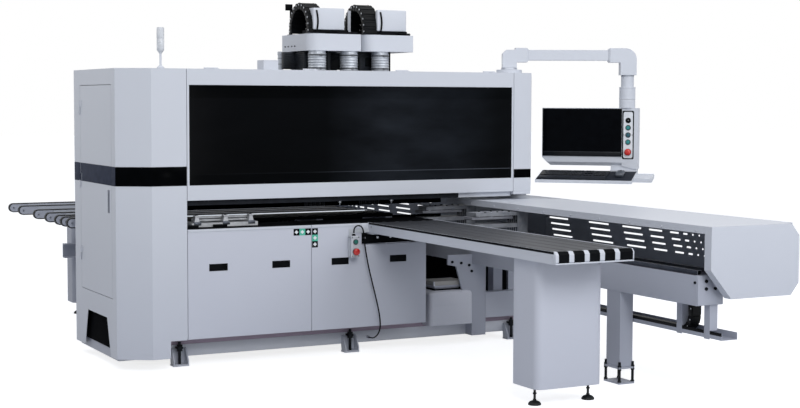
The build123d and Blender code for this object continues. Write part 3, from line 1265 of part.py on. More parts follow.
head_sizes = zip(("left", "right"), HEAD_XS, HEAD_WS, HOSE_XS, HEAD_BOX_XS, HEAD_BOX_YS)
for side, x0, width, hoses, box_dx, box_dy in head_sizes:
    nodes[side + "_head_carriage"] = head_carriage(x0, width, hoses, box_dx, box_dy, side == "right")
    nodes[side + "_head_drill_block"] = head_drill_block(x0, width)
    nodes[side + "_head_spindle"] = head_spindle(x0, width)
    nodes[side + "_head_hoses"] = Compound(children=[
        ribbed_hose(x0 + hose, hose_y, HOSE_BOTTOM, HEAD_TRAY_Z) for hose in hoses])
    nodes[side + "_head_chain"] = chain_arch(x0)


def lower_head():
    """Carriage on the lower guide beam with an upward drill block."""
    x0 = LOWER_HEAD_X - LOWER_HEAD_W / 2
    x1 = LOWER_HEAD_X + LOWER_HEAD_W / 2
    y1 = lower_beam_y0 - GAP
    y0 = y1 - LOWER_PLATE_T
    pieces = [block(x0, x1, y0, y1, LOWER_BEAM_Z0 + LOWER_PLATE_LIFT, LOWER_BLOCK_TOP - LOWER_PLATE_BELOW),
              block(x0 + LOWER_BLOCK_INSET, x1 - LOWER_BLOCK_INSET, y0 - LOWER_BLOCK_D, y0,
                    LOWER_BLOCK_TOP - LOWER_BLOCK_H, LOWER_BLOCK_TOP)]
    for i in range(5):
        x = x0 + LOWER_DRILL_INSET + DRILL_PITCH * i
        pieces.append(rod_z(x, y1 - LOWER_DRILL_BACK, LOWER_BLOCK_TOP, LOWER_BLOCK_TOP + LOWER_DRILL_H, DRILL_R))
    return fuse(pieces)


nodes["lower_head"] = lower_head()

# Panel grippers
jaw_top = TABLE_TOP - 2
jaw_z = jaw_top + JAW_OPEN + 20
upper_arm_z = GRIPPER_TOP - ARM_PLATE_T
jaw_rod_xs = (gripper_x0 + 60, gripper_x0 + 150, gripper_x0 + 240)
carriage_z = BEAM_TOP + TRACK_H + 8


def gripper_carriage(y):
    """Runner carriage with an upright and two arms that reach over the table; the lower arm is the fixed jaw."""
    half = GRIPPER_L / 2
    x0 = beam_x0 + 12
    pieces = [block(x0, beam_x1 - 8, y - half, y + half, carriage_z, carriage_z + 46)]
    for x in track_xs:
        for dy in (-half + 2, half - 58):
            runner = block(x - 25, x + 25, y + dy, y + dy + 56, BEAM_TOP + 6, carriage_z)
            runner -= block(x - TRACK_W / 2 - GAP, x + TRACK_W / 2 + GAP, y + dy - 1, y + dy + 57, BEAM_TOP,
                            BEAM_TOP + TRACK_H + GAP)
            pieces.append(runner)
    pieces.append(block(x0, x0 + 74, y - 68, y + 68, carriage_z + 46, GRIPPER_TOP))
    pieces.append(block(gripper_x0, x0, y - 58, y + 58, jaw_top - JAW_LOWER_T, jaw_top))
    upper = block(gripper_x0 + 26, x0, y - 58, y + 58, upper_arm_z, GRIPPER_TOP)
    pieces.append(upper)
    carriage = fuse(pieces)
    for x in jaw_rod_xs:
        carriage -= rod_z(x, y - 40, upper_arm_z - 1, GRIPPER_TOP + 1, JAW_ROD_R + GAP)
        carriage -= rod_z(x, y + 40, upper_arm_z - 1, GRIPPER_TOP + 1, JAW_ROD_R + GAP)
    return carriage


def gripper_jaw(y):
    """Clamping bar on six guide rods."""
    pieces = [block(gripper_x0, beam_x0 - 20, y - 54, y + 54, jaw_z - JAW_T, jaw_z)]
    for x in jaw_rod_xs:
        for dy in (-40, 40):
            pieces.append(rod_z(x, y + dy, jaw_z, GRIPPER_TOP - 2, JAW_ROD_R))
    return fuse(pieces)


for side, y in zip(("front", "rear"), GRIPPER_YS):
    nodes[side + "_gripper_carriage"] = gripper_carriage(y)
    nodes[side + "_gripper_jaw"] = gripper_jaw(y)

# Pendant: fixed flange, swinging arm and turning case
at_pendant = Pos(pendant_x, PENDANT_Y, 0) * Rot(0, 0, PENDANT_YAW)
drop_x = pendant_x + PENDANT_REACH * math.cos(math.radians(PENDANT_YAW))
drop_y = PENDANT_Y + PENDANT_REACH * math.sin(math.radians(PENDANT_YAW))
at_case = Pos(drop_x, drop_y, 0) * Rot(0, 0, CASE_YAW)
nodes["pendant_base"] = Pos(pendant_x, PENDANT_Y, 0) * fuse([
    rod_z(0, 0, HOUSE_TOP, HOUSE_TOP + FLANGE_T, FLANGE_R),
    rod_z(0, 0, HOUSE_TOP + FLANGE_T, HOUSE_TOP + FLANGE_T + 12, COUPLING_R)])


def pendant_arm():
    """Two cast elbows, the square tube between them, and the drop tube with its upper swivel cup."""
    cast = ARM_CAST / 2
    tube_h, tube_w = ARM_TUBE_H / 2, ARM_TUBE_W / 2
    low = HOUSE_TOP + FLANGE_T + 12 + GAP
    z = PENDANT_Z
    length = PENDANT_REACH
    bend = 78
    left_elbow = front_prism([(-cast, low), (-cast, z + tube_h - 26), (-cast + 26, z + tube_h), (cast, z + tube_h),
                              (cast, low)], -cast, cast)
    sleeve = block(cast - 10, ARM_SLEEVE, -cast, cast, z - cast, z + cast)
    sleeve = chamfer(sleeve.faces().sort_by(Axis.X)[-1].edges(), ARM_SLEEVE_EDGE)
    right_sleeve_x = length - ARM_SLEEVE - 8
    tube = block(ARM_SLEEVE - 1, right_sleeve_x + 1, -tube_w, tube_w, z - tube_h, z + tube_h)
    right_sleeve = block(right_sleeve_x, length - cast + 10, -cast, cast, z - cast, z + cast)
    right_sleeve = chamfer(right_sleeve.faces().sort_by(Axis.X)[0].edges(), ARM_SLEEVE_EDGE)
    corner = RadiusArc((length + COUPLING_R - bend, z + cast), (length + COUPLING_R, z + cast - bend), bend)
    outline = [Line((length - cast, z + cast), (length + COUPLING_R - bend, z + cast)), corner,
               Polyline((length + COUPLING_R, z + cast - bend), (length + COUPLING_R, z - cast - 86),
                        (length - COUPLING_R, z - cast - 86), (length - COUPLING_R, z - cast),
                        (length - cast, z - cast), (length - cast, z + cast))]
    right_elbow = extrude(Plane.XZ.offset(-cast) * make_face(outline), amount=ARM_CAST)
    drop_top = z - cast - 86
    drop = rod_z(length, 0, SWIVEL_Z + 86, drop_top, DROP_R)
    cup = rod_z(length, 0, SWIVEL_Z + GAP, SWIVEL_Z + 86, COUPLING_R)
    return fuse([left_elbow, sleeve, tube, right_sleeve, right_elbow, drop, cup])


def on_tray(y):
    """Height of the sloping keyboard tray's top at a depth."""
    return KEYTRAY_Z + (y - KEYTRAY_BACK) * KEYTRAY_DROP / (KEYTRAY_BACK - KEYTRAY_FRONT)


def sloped(x0, x1, y0, y1, low, high):
    """Slab that lies along the tray's slope, between two heights over its top."""
    return side_prism([(y0, on_tray(y0) + low), (y1, on_tray(y1) + low), (y1, on_tray(y1) + high),
                       (y0, on_tray(y0) + high)], x0, x1)


case_front = -CASE_D / 2


def pendant_case():
    """Case with a chamfered chin, lower swivel cup, neck, sloping keyboard tray and mouse shelf."""
    chin = CASE_BOTTOM + CASE_CHIN
    outline = [(CASE_LEFT, CASE_TOP), (CASE_RIGHT, CASE_TOP), (CASE_RIGHT, CASE_BOTTOM),
               (CASE_RIGHT - CASE_HEEL, CASE_BOTTOM), (SCREEN_RIGHT, chin), (CASE_LEFT + CASE_CHAMFER, chin),
               (CASE_LEFT, chin + CASE_CHAMFER)]
    case = front_prism(outline, case_front, -case_front)
    case -= side_prism([(case_front - 1, chin + CASE_CHIN_EDGE + 1), (case_front + CASE_CHIN_EDGE + 1, chin - 1),
                        (case_front - 1, chin - 1)], CASE_LEFT - 1, SCREEN_RIGHT)
    for z in PUSH_ZS:
        case -= rod_y(BUTTON_X, case_front - 1, case_front + BORE_DEPTH, z, PUSH_R + GAP)
    for z in (KEY_Z, STOP_Z):
        case -= rod_y(BUTTON_X, case_front - 1, case_front + BORE_DEPTH, z, STOP_STEM_R + GAP)
    w = CASE_WALL
    floor = chin + CASE_CHIN_EDGE + w
    case -= front_prism([(CASE_LEFT + w, CASE_TOP - w), (CASE_RIGHT - w, CASE_TOP - w), (CASE_RIGHT - w, floor),
                         (CASE_LEFT + CASE_CHAMFER, floor), (CASE_LEFT + w, chin + CASE_CHAMFER + w)],
                        case_front + CASE_FRONT_T, -case_front - w)
    cup = rod_z(0, 0, CASE_TOP, SWIVEL_Z, COUPLING_R)
    duct = rod_z(0, 0, CASE_TOP - 2 * w, SWIVEL_Z + 1, min(CABLE_BORE_R, CASE_D / 2 - CASE_FRONT_T))
    neck_x1 = CASE_RIGHT - 8
    return fuse([case + cup - duct,
                 block(-104, neck_x1, case_front + 8, 36, KEYTRAY_Z, chin + 4),
                 block(-104, neck_x1, KEYTRAY_BACK - 20, 36, KEYTRAY_Z - KEYTRAY_T, KEYTRAY_Z + 8),
                 sloped(KEYTRAY_LEFT, KEYTRAY_RIGHT, KEYTRAY_FRONT, KEYTRAY_BACK, -KEYTRAY_T, 0),
                 sloped(KEYTRAY_RIGHT, KEYTRAY_RIGHT + MOUSE_PAD_W, KEYTRAY_FRONT + 60, KEYTRAY_BACK - 70,
                        -KEYTRAY_T - 4, -2)])


def push_button(z):
    face = case_front - 11
    return rod_y(BUTTON_X, face, case_front + 3, z, PUSH_R)


def stop_button(x, z, face):
    """Mushroom head on a stem, in front of a face that looks along -Y."""
    return rod_y(x, face - 28, face - 10, z, STOP_R) + rod_y(x, face - 10, face + 3, z, STOP_STEM_R)


def key_switch():
    knob = rod_y(BUTTON_X, case_front - 8, case_front - GAP, KEY_Z, PUSH_R)
    handle = block(BUTTON_X - 3, BUTTON_X + 3, case_front - 22, case_front - 8, KEY_Z - 12, KEY_Z + 12)
    return fuse([knob, handle, rod_y(BUTTON_X, case_front - GAP, case_front + 5, KEY_Z, STOP_STEM_R)])


nodes["pendant_arm"] = at_pendant * pendant_arm()
nodes["pendant_case"] = at_case * pendant_case()
nodes["pendant_screen"] = at_case * block(SCREEN_LEFT, SCREEN_RIGHT, case_front - SCREEN_T, case_front, SCREEN_BOTTOM,
                                          CASE_TOP - 4)
keys_x0 = KEYTRAY_LEFT + KEYBOARD_INSET
keys_y0 = KEYTRAY_FRONT + KEYBOARD_INSET
keyboard = sloped(keys_x0, keys_x0 + KEYBOARD_W, keys_y0, keys_y0 + KEYBOARD_D, 0, 16)
mouse_x0 = KEYTRAY_RIGHT - MOUSE_IN
mouse_y0 = KEYTRAY_FRONT + MOUSE_BACK
mouse = sloped(mouse_x0, mouse_x0 + MOUSE_W, mouse_y0, mouse_y0 + MOUSE_L, 0, 30)
mouse = fillet(mouse.edges().group_by(Axis.Z)[-1], 10)
nodes["keyboard"] = at_case * Compound(children=[keyboard, mouse])
nodes["key_switch"] = at_case * key_switch()
for name, z in zip(("start_button", "feed_button", "reset_button"), PUSH_ZS):
    nodes[name] = at_case * push_button(z)
nodes["pendant_stop"] = at_case * stop_button(BUTTON_X, STOP_Z, case_front)

# Push-button box on its strap, its cable gland and the cable to the base
box_front = BOX_BACK - BOX_D
box_middle = box_x0 + BOX_W / 2
gland_y = BOX_BACK - BOX_D / 2
gland_top = BOX_TOP + GLAND_H


def button_box():
    box = block(box_x0, box_x0 + BOX_W, box_front, BOX_BACK, BOX_BOTTOM, BOX_TOP)
    box = fillet(box.edges().filter_by(Axis.Z), 6)
    box -= rod_y(box_middle, box_front - 1, box_front + BORE_DEPTH, BOX_START_Z, PUSH_R + GAP)
    box -= rod_y(box_middle, box_front - 1, box_front + BORE_DEPTH, BOX_STOP_Z, STOP_STEM_R + GAP)
    strap = fuse([block(box_middle - 20, box_middle + 20, BOX_BACK, BOX_BACK + 4, BOX_BOTTOM + 10, conv_bottom + 30),
                  block(box_middle - 20, conv_x0, BOX_BACK, BOX_BACK + 4, conv_bottom + 4, conv_bottom + 30)])
    return fuse([box, strap, rod_z(box_middle, gland_y, BOX_TOP, gland_top, GLAND_R)])


nodes["button_box"] = button_box()
nodes["box_start_button"] = rod_y(box_middle, box_front - 11, box_front + 3, BOX_START_Z, PUSH_R)
nodes["box_stop_button"] = stop_button(box_middle, BOX_STOP_Z, box_front)

# The cable climbs out of the gland, turns over and hangs to a gland on the base's front rail.
cable_end_x = box_middle + CABLE_OUT
base_gland = rod_y(cable_end_x, FRONT_RAIL_Y - GLAND_H, FRONT_RAIL_Y, CABLE_GLAND_Z, GLAND_R)
nodes["base_frame"] = nodes["base_frame"] + base_gland
cable_points = [
    (box_middle, gland_y, gland_top),
    (box_middle, gland_y, gland_top + 27),
    (box_middle + 19, gland_y - 1, gland_top + 46),
    (box_middle + 46, gland_y - 2, gland_top + 45),
    (box_middle + 65, gland_y - 2, gland_top + 26),
    (box_middle + 72, gland_y - 1, gland_top - 15),
    (box_middle + 80, -33, 716),
    (box_middle + 100, -31, 610),
    (box_middle + 124, -32, 512),
    (box_middle + 150, -34, 412),
    (box_middle + 173, -37, 318),
    (box_middle + 190, -36, 236),
    (box_middle + 200, -20, 172),
    (box_middle + 205, 22, 124),
    (box_middle + 208, 78, 96),
    (cable_end_x, 122, CABLE_GLAND_Z),
    (cable_end_x, FRONT_RAIL_Y - GLAND_H, CABLE_GLAND_Z),
]


def cable(points):
    """Round cable on straight runs joined by the largest tangent arcs that the runs allow."""
    spots = [Vector(*p) for p in points]
    radii = []
    for before, here, after in zip(spots, spots[1:], spots[2:]):
        turn = (here - before).get_angle(after - here)
        shorter = min((here - before).length, (after - here).length)
        radii.append(0.45 * shorter / math.tan(math.radians(turn / 2)))
    print("cable radii", [round(r) for r in radii])
    path = FilletPolyline(*points, radius=radii)
    section = Plane(origin=path @ 0, z_dir=path % 0) * Circle(CABLE_R)
    tube = sweep(section, path=path)
    print("cable length", round(path.length), "volume ratio", tube.volume / (path.length * math.pi * CABLE_R ** 2))
    return tube


nodes["button_box_cable"] = cable(cable_points)

# The origin goes to the middle of the footprint, on the floor.
cord_nodes = ("button_box_cable",)
boxes = [shape.bounding_box() for name, shape in nodes.items() if name not in cord_nodes]
middle_x = (min(box.min.X for box in boxes) + max(box.max.X for box in boxes)) / 2
middle_y = (min(box.min.Y for box in boxes) + max(box.max.Y for box in boxes)) / 2
to_origin = Pos(-middle_x, -middle_y, -min(box.min.Z for box in boxes))
print("moved by", -middle_x, -middle_y)

os.makedirs("parts", exist_ok=True)
for name, shape in nodes.items():
    export_step(to_origin * shape, "parts/" + name + ".step")
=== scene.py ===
import math
from collections import namedtuple
from itertools import product

import bmesh
import bpy
from mathutils import Matrix, Vector


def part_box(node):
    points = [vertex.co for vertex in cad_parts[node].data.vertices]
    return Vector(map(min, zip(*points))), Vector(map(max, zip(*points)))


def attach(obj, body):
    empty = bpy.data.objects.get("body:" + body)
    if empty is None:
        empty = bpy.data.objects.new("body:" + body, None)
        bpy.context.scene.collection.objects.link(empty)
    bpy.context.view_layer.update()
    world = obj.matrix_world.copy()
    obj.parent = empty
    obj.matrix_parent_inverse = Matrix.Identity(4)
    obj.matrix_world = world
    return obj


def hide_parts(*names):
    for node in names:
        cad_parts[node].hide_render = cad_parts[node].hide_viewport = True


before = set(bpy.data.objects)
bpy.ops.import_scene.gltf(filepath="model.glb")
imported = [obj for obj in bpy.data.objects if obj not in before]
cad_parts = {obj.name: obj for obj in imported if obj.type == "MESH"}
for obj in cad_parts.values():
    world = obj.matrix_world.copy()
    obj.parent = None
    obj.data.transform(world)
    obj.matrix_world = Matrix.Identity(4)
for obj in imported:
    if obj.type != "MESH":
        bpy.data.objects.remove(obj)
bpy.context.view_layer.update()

# Pieces are drawn in the machine's own millimetres: X = 0 at the hood's left seam, Y = 0 at its front face.
MM = 0.001
GLASS_CORNER = Vector((8, 4, 1120))
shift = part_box("hood_glass")[0] - GLASS_CORNER * MM
to_row = Matrix.Translation(shift) @ Matrix.Diagonal((MM, MM, MM, 1))


def put(x, y, z, turn=Matrix()):
    """Place of a piece, after a turn."""
    return Matrix.Translation((x, y, z)) @ turn


# Turns that bring a piece drawn upwards to face the operator, the back, the left and the right
FRONT = Matrix.Rotation(math.radians(90), 4, "X")
BACK = Matrix.Rotation(math.radians(-90), 4, "X")
LEFT = Matrix.Rotation(math.radians(-90), 4, "Y")
RIGHT = Matrix.Rotation(math.radians(90), 4, "Y")
# Turn that stands an outline up in Y and Z, its thickness along X
ACROSS = Matrix(((0, 0, 1, 0), (1, 0, 0, 0), (0, 1, 0, 0), (0, 0, 0, 1)))

# Sizes shared with the solids
HOOD_W = 2342
HOUSE_D = 1004
HOUSE_TOP = 1845
LEFT_X = -413
LEFT_FRONT = -223
LEFT_CHAMFER_Y = 116
DOOR_Y = (193, 861)
DOOR_HINGE = (LEFT_X - 4.5, 862.5)
TABLE_TOP = 866
CONV_X = (1239, 1742)
CONV_FRONT = -2184
BEAM_X = (2080, 2258)
BEAM_Y = (-2296, 3276)
BEAM_BOTTOM = 546
BEAM_TOP = 712
TRACK_XS = (2112, 2226)
PEDESTAL_YS = (-1532, 2520)
GRIPPER_YS = {"front": -391, "rear": 268}
TRAY_TOP = 2091
Head = namedtuple("Head", "x0 width hose_xs box_x box_y cover_x drives")
HEADS = {"left": Head(950, 371, (81, 313), 135, 400, (993, 1217), ((888, 1000), (1226, 1320))),
         "right": Head(1357, 356, (139,), 168, 350, (1462, 1677), ())}
HEAD_TRAY_Y = 282
HOSE_Y = 347
CASE_FRONT = -40
BUTTON_X = 15
BUTTON_ZS = {"start_button": 1473, "feed_button": 1423, "reset_button": 1374}
KEY_Z = 1523
STOP_Z = 1305
BOX_FRONT = -60
BOX_MIDDLE = 1116
BOX_START_Z = 748
BOX_STOP_Z = 685
GLAND_Y = -33
at_arm = put(2400, 160, 0)
at_drop = put(3123.0, -220.4, 0)
at_case = at_drop @ Matrix.Rotation(math.radians(-45), 4, "Z")
at_tray = at_case @ put(0, -38, 1174, Matrix.Rotation(math.atan2(56, 254), 4, "X"))


def linear(code):
    """A colour written as sRGB hex, in linear light."""
    parts = [int(code[i:i + 2], 16) / 255 for i in (1, 3, 5)]
    return [c / 12.92 if c <= 0.04045 else ((c + 0.055) / 1.055) ** 2.4 for c in parts] + [1.0]


def add(tree, kind, inputs=None, stops=(), **settings):
    """Adds a shader node with its settings, its values and links, and a ramp's stops."""
    made = tree.nodes.new("ShaderNode" + kind)
    for name, value in settings.items():
        setattr(made, name, value)
    for name, value in (inputs or {}).items():
        if isinstance(value, bpy.types.NodeSocket):
            tree.links.new(value, made.inputs[name])
        else:
            made.inputs[name].default_value = value
    if stops:
        elements = made.color_ramp.elements
        while len(elements) < len(stops):
            elements.new(1.0)
        for element, (position, code) in zip(elements, stops):
            element.position = position
            element.color = linear(code)
    return made


def noise(spot, size, detail, **inputs):
    """Noise whose features are this many millimetres wide."""
    inputs.update({"Vector": spot, "Scale": 1.0 / (size * MM), "Detail": detail})
    return add(spot.id_data, "TexNoise", inputs).outputs["Fac"]


def spread(value, low, high, start=0.0, end=1.0):
    """A value between start and end, brought between low and high."""
    inputs = {"Value": value, "From Min": start, "From Max": end, "To Min": low, "To Max": high}
    return add(value.id_data, "MapRange", inputs).outputs["Result"]


def ramp(value, *stops):
    """A colour read from a value by a ramp's stops."""
    return add(value.id_data, "ValToRGB", {"Fac": value}, stops).outputs["Color"]


def calc(operation, *values, **settings):
    """A number worked out from numbers."""
    return add(values[0].id_data, "Math", dict(enumerate(values)), operation=operation, **settings).outputs["Value"]


def blend(kind, first, second):
    """Two colours added or multiplied."""
    inputs = {"Fac": 1.0, "Color1": first, "Color2": second}
    return add(first.id_data, "MixRGB", inputs, blend_type=kind).outputs["Color"]


def relief(height, strength, depth, **inputs):
    """Surface direction of a relief this many millimetres deep."""
    inputs.update({"Height": height, "Strength": strength, "Distance": depth * MM})
    return add(height.id_data, "Bump", inputs).outputs["Normal"]


def new_finish(name, specular=0.5, **constants):
    """A material with constants on its shader, its node tree and its object coordinates."""
    finish = bpy.data.materials.new(name)
    finish.use_nodes = True
    tree = finish.node_tree
    shader = tree.nodes["Principled BSDF"]
    shader.inputs["Specular IOR Level"].default_value = specular
    for socket, value in constants.items():
        shader.inputs[socket.replace("_", " ")].default_value = value
    return finish, tree, add(tree, "TexCoord").outputs["Object"]


def dress(finish, colour, roughness, normal=None):
    """Links a finish's colour, roughness and relief to its shader."""
    tree = finish.node_tree
    for socket, value in (("Base Color", colour), ("Roughness", roughness), ("Normal", normal)):
        if value is not None:
            tree.links.new(value, tree.nodes["Principled BSDF"].inputs[socket])
    return finish


def powder_coat(name, face, low, roughness, painted_shade_height=1.2):
    """Powder coat baked on folded sheet: soft gloss, orange peel, a tone that drifts, and painted shade that darkens
    it towards the floor.
    """
    finish, tree, spot = new_finish(name, specular=0.35)
    height = add(tree, "SeparateXYZ", {"Vector": spot}).outputs["Z"]
    drift = noise(spot, 700, 4.0, Roughness=0.6)
    # Painted shade: from the painted shade height down to the floor the coat darkens towards its low colour, where
    # less light reaches
    painted_floor_shade = spread(height, 0.1, 1.0, 0.05, painted_shade_height)
    mixed = calc("ADD", painted_floor_shade, calc("MULTIPLY_ADD", drift, 0.3, -0.15), use_clamp=True)
    # Orange peel is 2 to 3 mm wide, and is drawn at 9 mm so that it shows.
    peel = noise(spot, 9, 2.0)
    wave = noise(spot, 420, 1.0)
    folds = add(tree, "Bevel", {"Radius": 3 * MM}, samples=4).outputs["Normal"]
    slow = relief(wave, 0.25, 2, Normal=folds)
    return dress(finish, ramp(mixed, (0.0, low), (1.0, face)),
                 spread(drift, roughness - 0.06, roughness + 0.06), relief(peel, 0.12, 0.3, Normal=slow))


def moulded(name, dark, pale, roughness, grain=3.0, depth=0.12, **constants):
    """Moulded plastic, rubber or printed film: an even colour with a fine grain."""
    finish, _, spot = new_finish(name, **constants)
    tone = noise(spot, 60, 3.0)
    pits = noise(spot, grain, 2.0)
    return dress(finish, ramp(tone, (0.3, dark), (0.7, pale)),
                 spread(pits, roughness - 0.08, roughness + 0.08), relief(pits, depth, 0.3))


def machined(name, dark, pale, roughness, lay=(1, 1, 1), mark=2.0):
    """Cut, drawn or plated metal: fine marks along the lay, and a gloss that is broken by them."""
    finish, tree, spot = new_finish(name, Metallic=1.0)
    stretched = add(tree, "Mapping", {"Vector": spot, "Scale": lay}).outputs["Vector"]
    marks = noise(stretched, mark, 3.0)
    patches = noise(spot, 80, 2.0)
    both = calc("MULTIPLY_ADD", patches, 0.4, calc("MULTIPLY", marks, 0.6))
    return dress(finish, ramp(both, (0.3, dark), (0.7, pale)),
                 spread(both, roughness - 0.1, roughness + 0.1), relief(marks, 0.1, 0.2))


def belt_cloth(name):
    """Woven polyester belt with a matt PVC face: dark grey, a fine weave, worn and dusty along its run."""
    finish, tree, spot = new_finish(name)
    # The weave repeats every 1.2 mm, and is drawn at 7 mm so that it shows.
    threads = [add(tree, "TexWave", {"Vector": spot, "Scale": 1.0 / (7 * MM) / 20, "Distortion": 1.5, "Detail": 2.0},
                   bands_direction=way).outputs["Fac"] for way in "XY"]
    streak = noise(spot, 45, 5.0, Roughness=0.7)
    level = calc("MULTIPLY_ADD", calc("MULTIPLY", *threads), 0.25, streak)
    return dress(finish, ramp(level, (0.35, "#1F2126"), (0.9, "#383B42")),
                 spread(streak, 0.4, 0.58), relief(level, 0.3, 0.4))


def printed_window(name):
    """Smoked polycarbonate printed black along its top and foot, with a painted reflection in smeary patches that
    brightens its middle and right, and a thin pale rule whose painted light fades out towards the left.
    """
    finish, tree, spot = new_finish(name, specular=0.02)
    place = add(tree, "SeparateXYZ", {"Vector": spot}).outputs
    low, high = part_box("hood_glass")
    rise = spread(place["Z"], 0.0, 1.0, low[2], high[2])
    run = spread(place["X"], 0.0, 1.0, low[0], high[0])
    ground = ramp(rise, (0.0, "#020304"), (0.123, "#020304"), (0.127, "#040506"), (0.855, "#050608"),
                  (0.858, "#010203"))
    rule = ramp(rise, (0.119, "#000000"), (0.1215, "#50545B"), (0.1245, "#50545B"), (0.127, "#000000"))
    # Painted light along the rule: it brightens towards the right with the painted reflection
    painted_light_along_rule = ramp(run, (0.0, "#202020"), (0.35, "#505050"), (0.55, "#C8C8C8"), (1.0, "#E8E8E8"))
    # Painted reflection: a lighter tint across the middle and right of the pane, broken up by the smears
    painted_reflection = ramp(run, (0.0, "#020203"), (0.4, "#050607"), (0.58, "#272B31"), (0.8, "#20242A"), (0.95, "#0A0C0E"))
    wipe = add(tree, "Mapping", {"Vector": spot, "Scale": (1.0, 1.0, 3.0)}).outputs["Vector"]
    smears_and_reflection_patches = noise(wipe, 350, 5.0)
    ruled = blend("ADD", ground, blend("MULTIPLY", rule, painted_light_along_rule))
    return dress(finish, blend("ADD", ruled, blend("MULTIPLY", painted_reflection, smears_and_reflection_patches)),
                 spread(smears_and_reflection_patches, 0.06, 0.2))


# The second colour of each powder coat is its painted shade near the floor
COVER_WHITE = powder_coat("powder_coated_cover_steel", "#CCD0D8", "#B8BCC7", 0.45)
FRAME_GREY = powder_coat("powder_coated_frame_steel", "#B4B8C3", "#A2A6B3", 0.5)
PANEL_GREY = powder_coat("powder_coated_panel_steel", "#C8CBD5", "#BABECA", 0.48)
GUARD_GREY = powder_coat("powder_coated_guard_steel", "#AEB3BD", "#9CA1AB", 0.5, painted_shade_height=0.8)
PAINTED_BEAM_SHADE = powder_coat("beam_top_painted_shade", "#42424E", "#393945", 0.5)
PAINTED_RAIL_SHADOW = powder_coat("painted_shadow_under_panels", "#AE9DAC", "#A393A3", 0.55)
PAINTED_RAIL_LIGHT = powder_coat("rail_face_painted_light", "#E4E6EC", "#DCDFE7", 0.5)
PUMP_WHITE = powder_coat("enamelled_pump_cover", "#E2E4EC", "#CDD0DB", 0.4)
PUMP_LID = powder_coat("tan_enamelled_lid", "#B8B6B2", "#A9A8A5", 0.45)
ANODISED = moulded("clear_anodised_aluminium", "#A4A6AA", "#C8CACD", 0.4, grain=5.0, Metallic=0.25)
GREY_ANODISED = moulded("grey_anodised_aluminium", "#74777E", "#989BA1", 0.38, grain=5.0, Metallic=0.3)
CAST_GREY = moulded("grey_cast_jaw", "#6C6E76", "#86888F", 0.45, grain=6.0, Metallic=0.2)
POLISHED = machined("polished_guide_steel", "#B9C4D2", "#F2F6FA", 0.16, lay=(0.02, 1, 1))
STEEL = machined("ground_steel", "#7E8288", "#B9BDC2", 0.3, lay=(1, 0.04, 1))
DARK_STEEL = machined("dark_tempered_steel", "#3C3F46", "#5A5E66", 0.36)
ZINC = machined("zinc_plated_sheet", "#8F949C", "#BFC4CB", 0.42, mark=12.0)
BLACK_STEEL = machined("black_oxide_steel", "#0D0E10", "#23262A", 0.46)
DRILL_DARK = moulded("dark_painted_casting", "#14171D", "#232830", 0.5, grain=6.0, specular=0.25)
DRIVE_GREY = moulded("grey_drive_housing", "#3A3E44", "#50545B", 0.5)
TERMINAL_BEIGE = moulded("beige_terminal_polyamide", "#A9A18C", "#BDB6A2", 0.5)
DUCT_GREY = moulded("light_grey_pvc_duct", "#A3A8B0", "#B6BBC2", 0.5)
SLAT_BLACK = moulded("black_laminate_slat", "#050608", "#0B0C0F", 0.6, grain=5.0, specular=0.03)
BLACK_NYLON = moulded("black_nylon_chain", "#050608", "#0D0F12", 0.45, grain=4.0, specular=0.1)
BLACK_ABS = moulded("black_abs_plastic", "#07080A", "#101215", 0.45, specular=0.03)
PAINTED_SHADE_SHEET = moulded("black_painted_shade_sheet", "#040507", "#08090C", 0.88, grain=9.0, specular=0.01)
GLOSS_BLACK = moulded("gloss_black_trim_film", "#020304", "#040507", 0.2, grain=40.0, depth=0.04, specular=0.01)
PULL_GREY = moulded("grey_pull_frame_abs", "#626876", "#707684", 0.6, specular=0.1)
SLATE_FILM = moulded("satin_slate_trim_film", "#3C404D", "#454A58", 0.7, grain=40.0, depth=0.04, specular=0.02)
DESK_MAT = moulded("dark_woven_desk_mat", "#151921", "#1F242E", 0.7, grain=2.0, specular=0.15)
KEY_BLACK = moulded("black_keycap_abs", "#0E1219", "#171C26", 0.5, specular=0.25)
MOUSE_GREY = moulded("grey_mouse_abs", "#3A3F47", "#4B515A", 0.38)
LIGHT_ABS = moulded("light_grey_abs_box", "#B9BDC3", "#CACED3", 0.42)
GREEN = moulded("green_button_polycarbonate", "#0F554A", "#1C7062", 0.22)
TEAL = moulded("teal_button_polycarbonate", "#1B6E72", "#2C8C8A", 0.22)
DARK_TEAL = moulded("dark_teal_button_polycarbonate", "#143D49", "#1D5260", 0.22)
RED = moulded("red_button_polycarbonate", "#B01816", "#D2322A", 0.24)
RUBBER = moulded("black_rubber_cable", "#090A0B", "#17191B", 0.52, grain=2.0, specular=0.25)
CABLE_BLACK = moulded("black_pvc_cable_sheath", "#040506", "#0A0B0D", 0.55, grain=2.0, specular=0.05)
SKIRT_DARK = moulded("dark_rubber_skirt", "#15171B", "#202329", 0.6, specular=0.1)
HOSE_SILVER = moulded("silver_pvc_hose", "#A2A7AF", "#C6CBD2", 0.34, grain=4.0, Metallic=0.3)
HOSE_BAND = moulded("dark_hose_clamp_band", "#3A3D42", "#53575D", 0.4)
LENS = moulded("frosted_lamp_polycarbonate", "#D2D6DC", "#E6E9ED", 0.3, grain=20.0, Transmission_Weight=0.3)
SCREEN = moulded("black_screen_glass", "#030407", "#06080C", 0.12, grain=60.0, depth=0.02, specular=0.02)
BEZEL = moulded("black_screen_bezel", "#0B0D11", "#12151A", 0.3, specular=0.12)
PLATE_WHITE = moulded("white_printed_control_plate", "#D6DAE0", "#E2E5EA", 0.35)
STICKER_GREEN = moulded("green_printed_vinyl", "#3FA58B", "#4FB89C", 0.4)
STICKER_WHITE = moulded("white_printed_vinyl", "#D5D9DD", "#E2E5E8", 0.4)
WINDOW = printed_window("smoked_polycarbonate_window")
BELT = belt_cloth("woven_pvc_belt")
BLACK_BELT = moulded("black_rubber_belt", "#0A0B0D", "#16181B", 0.5, specular=0.1)

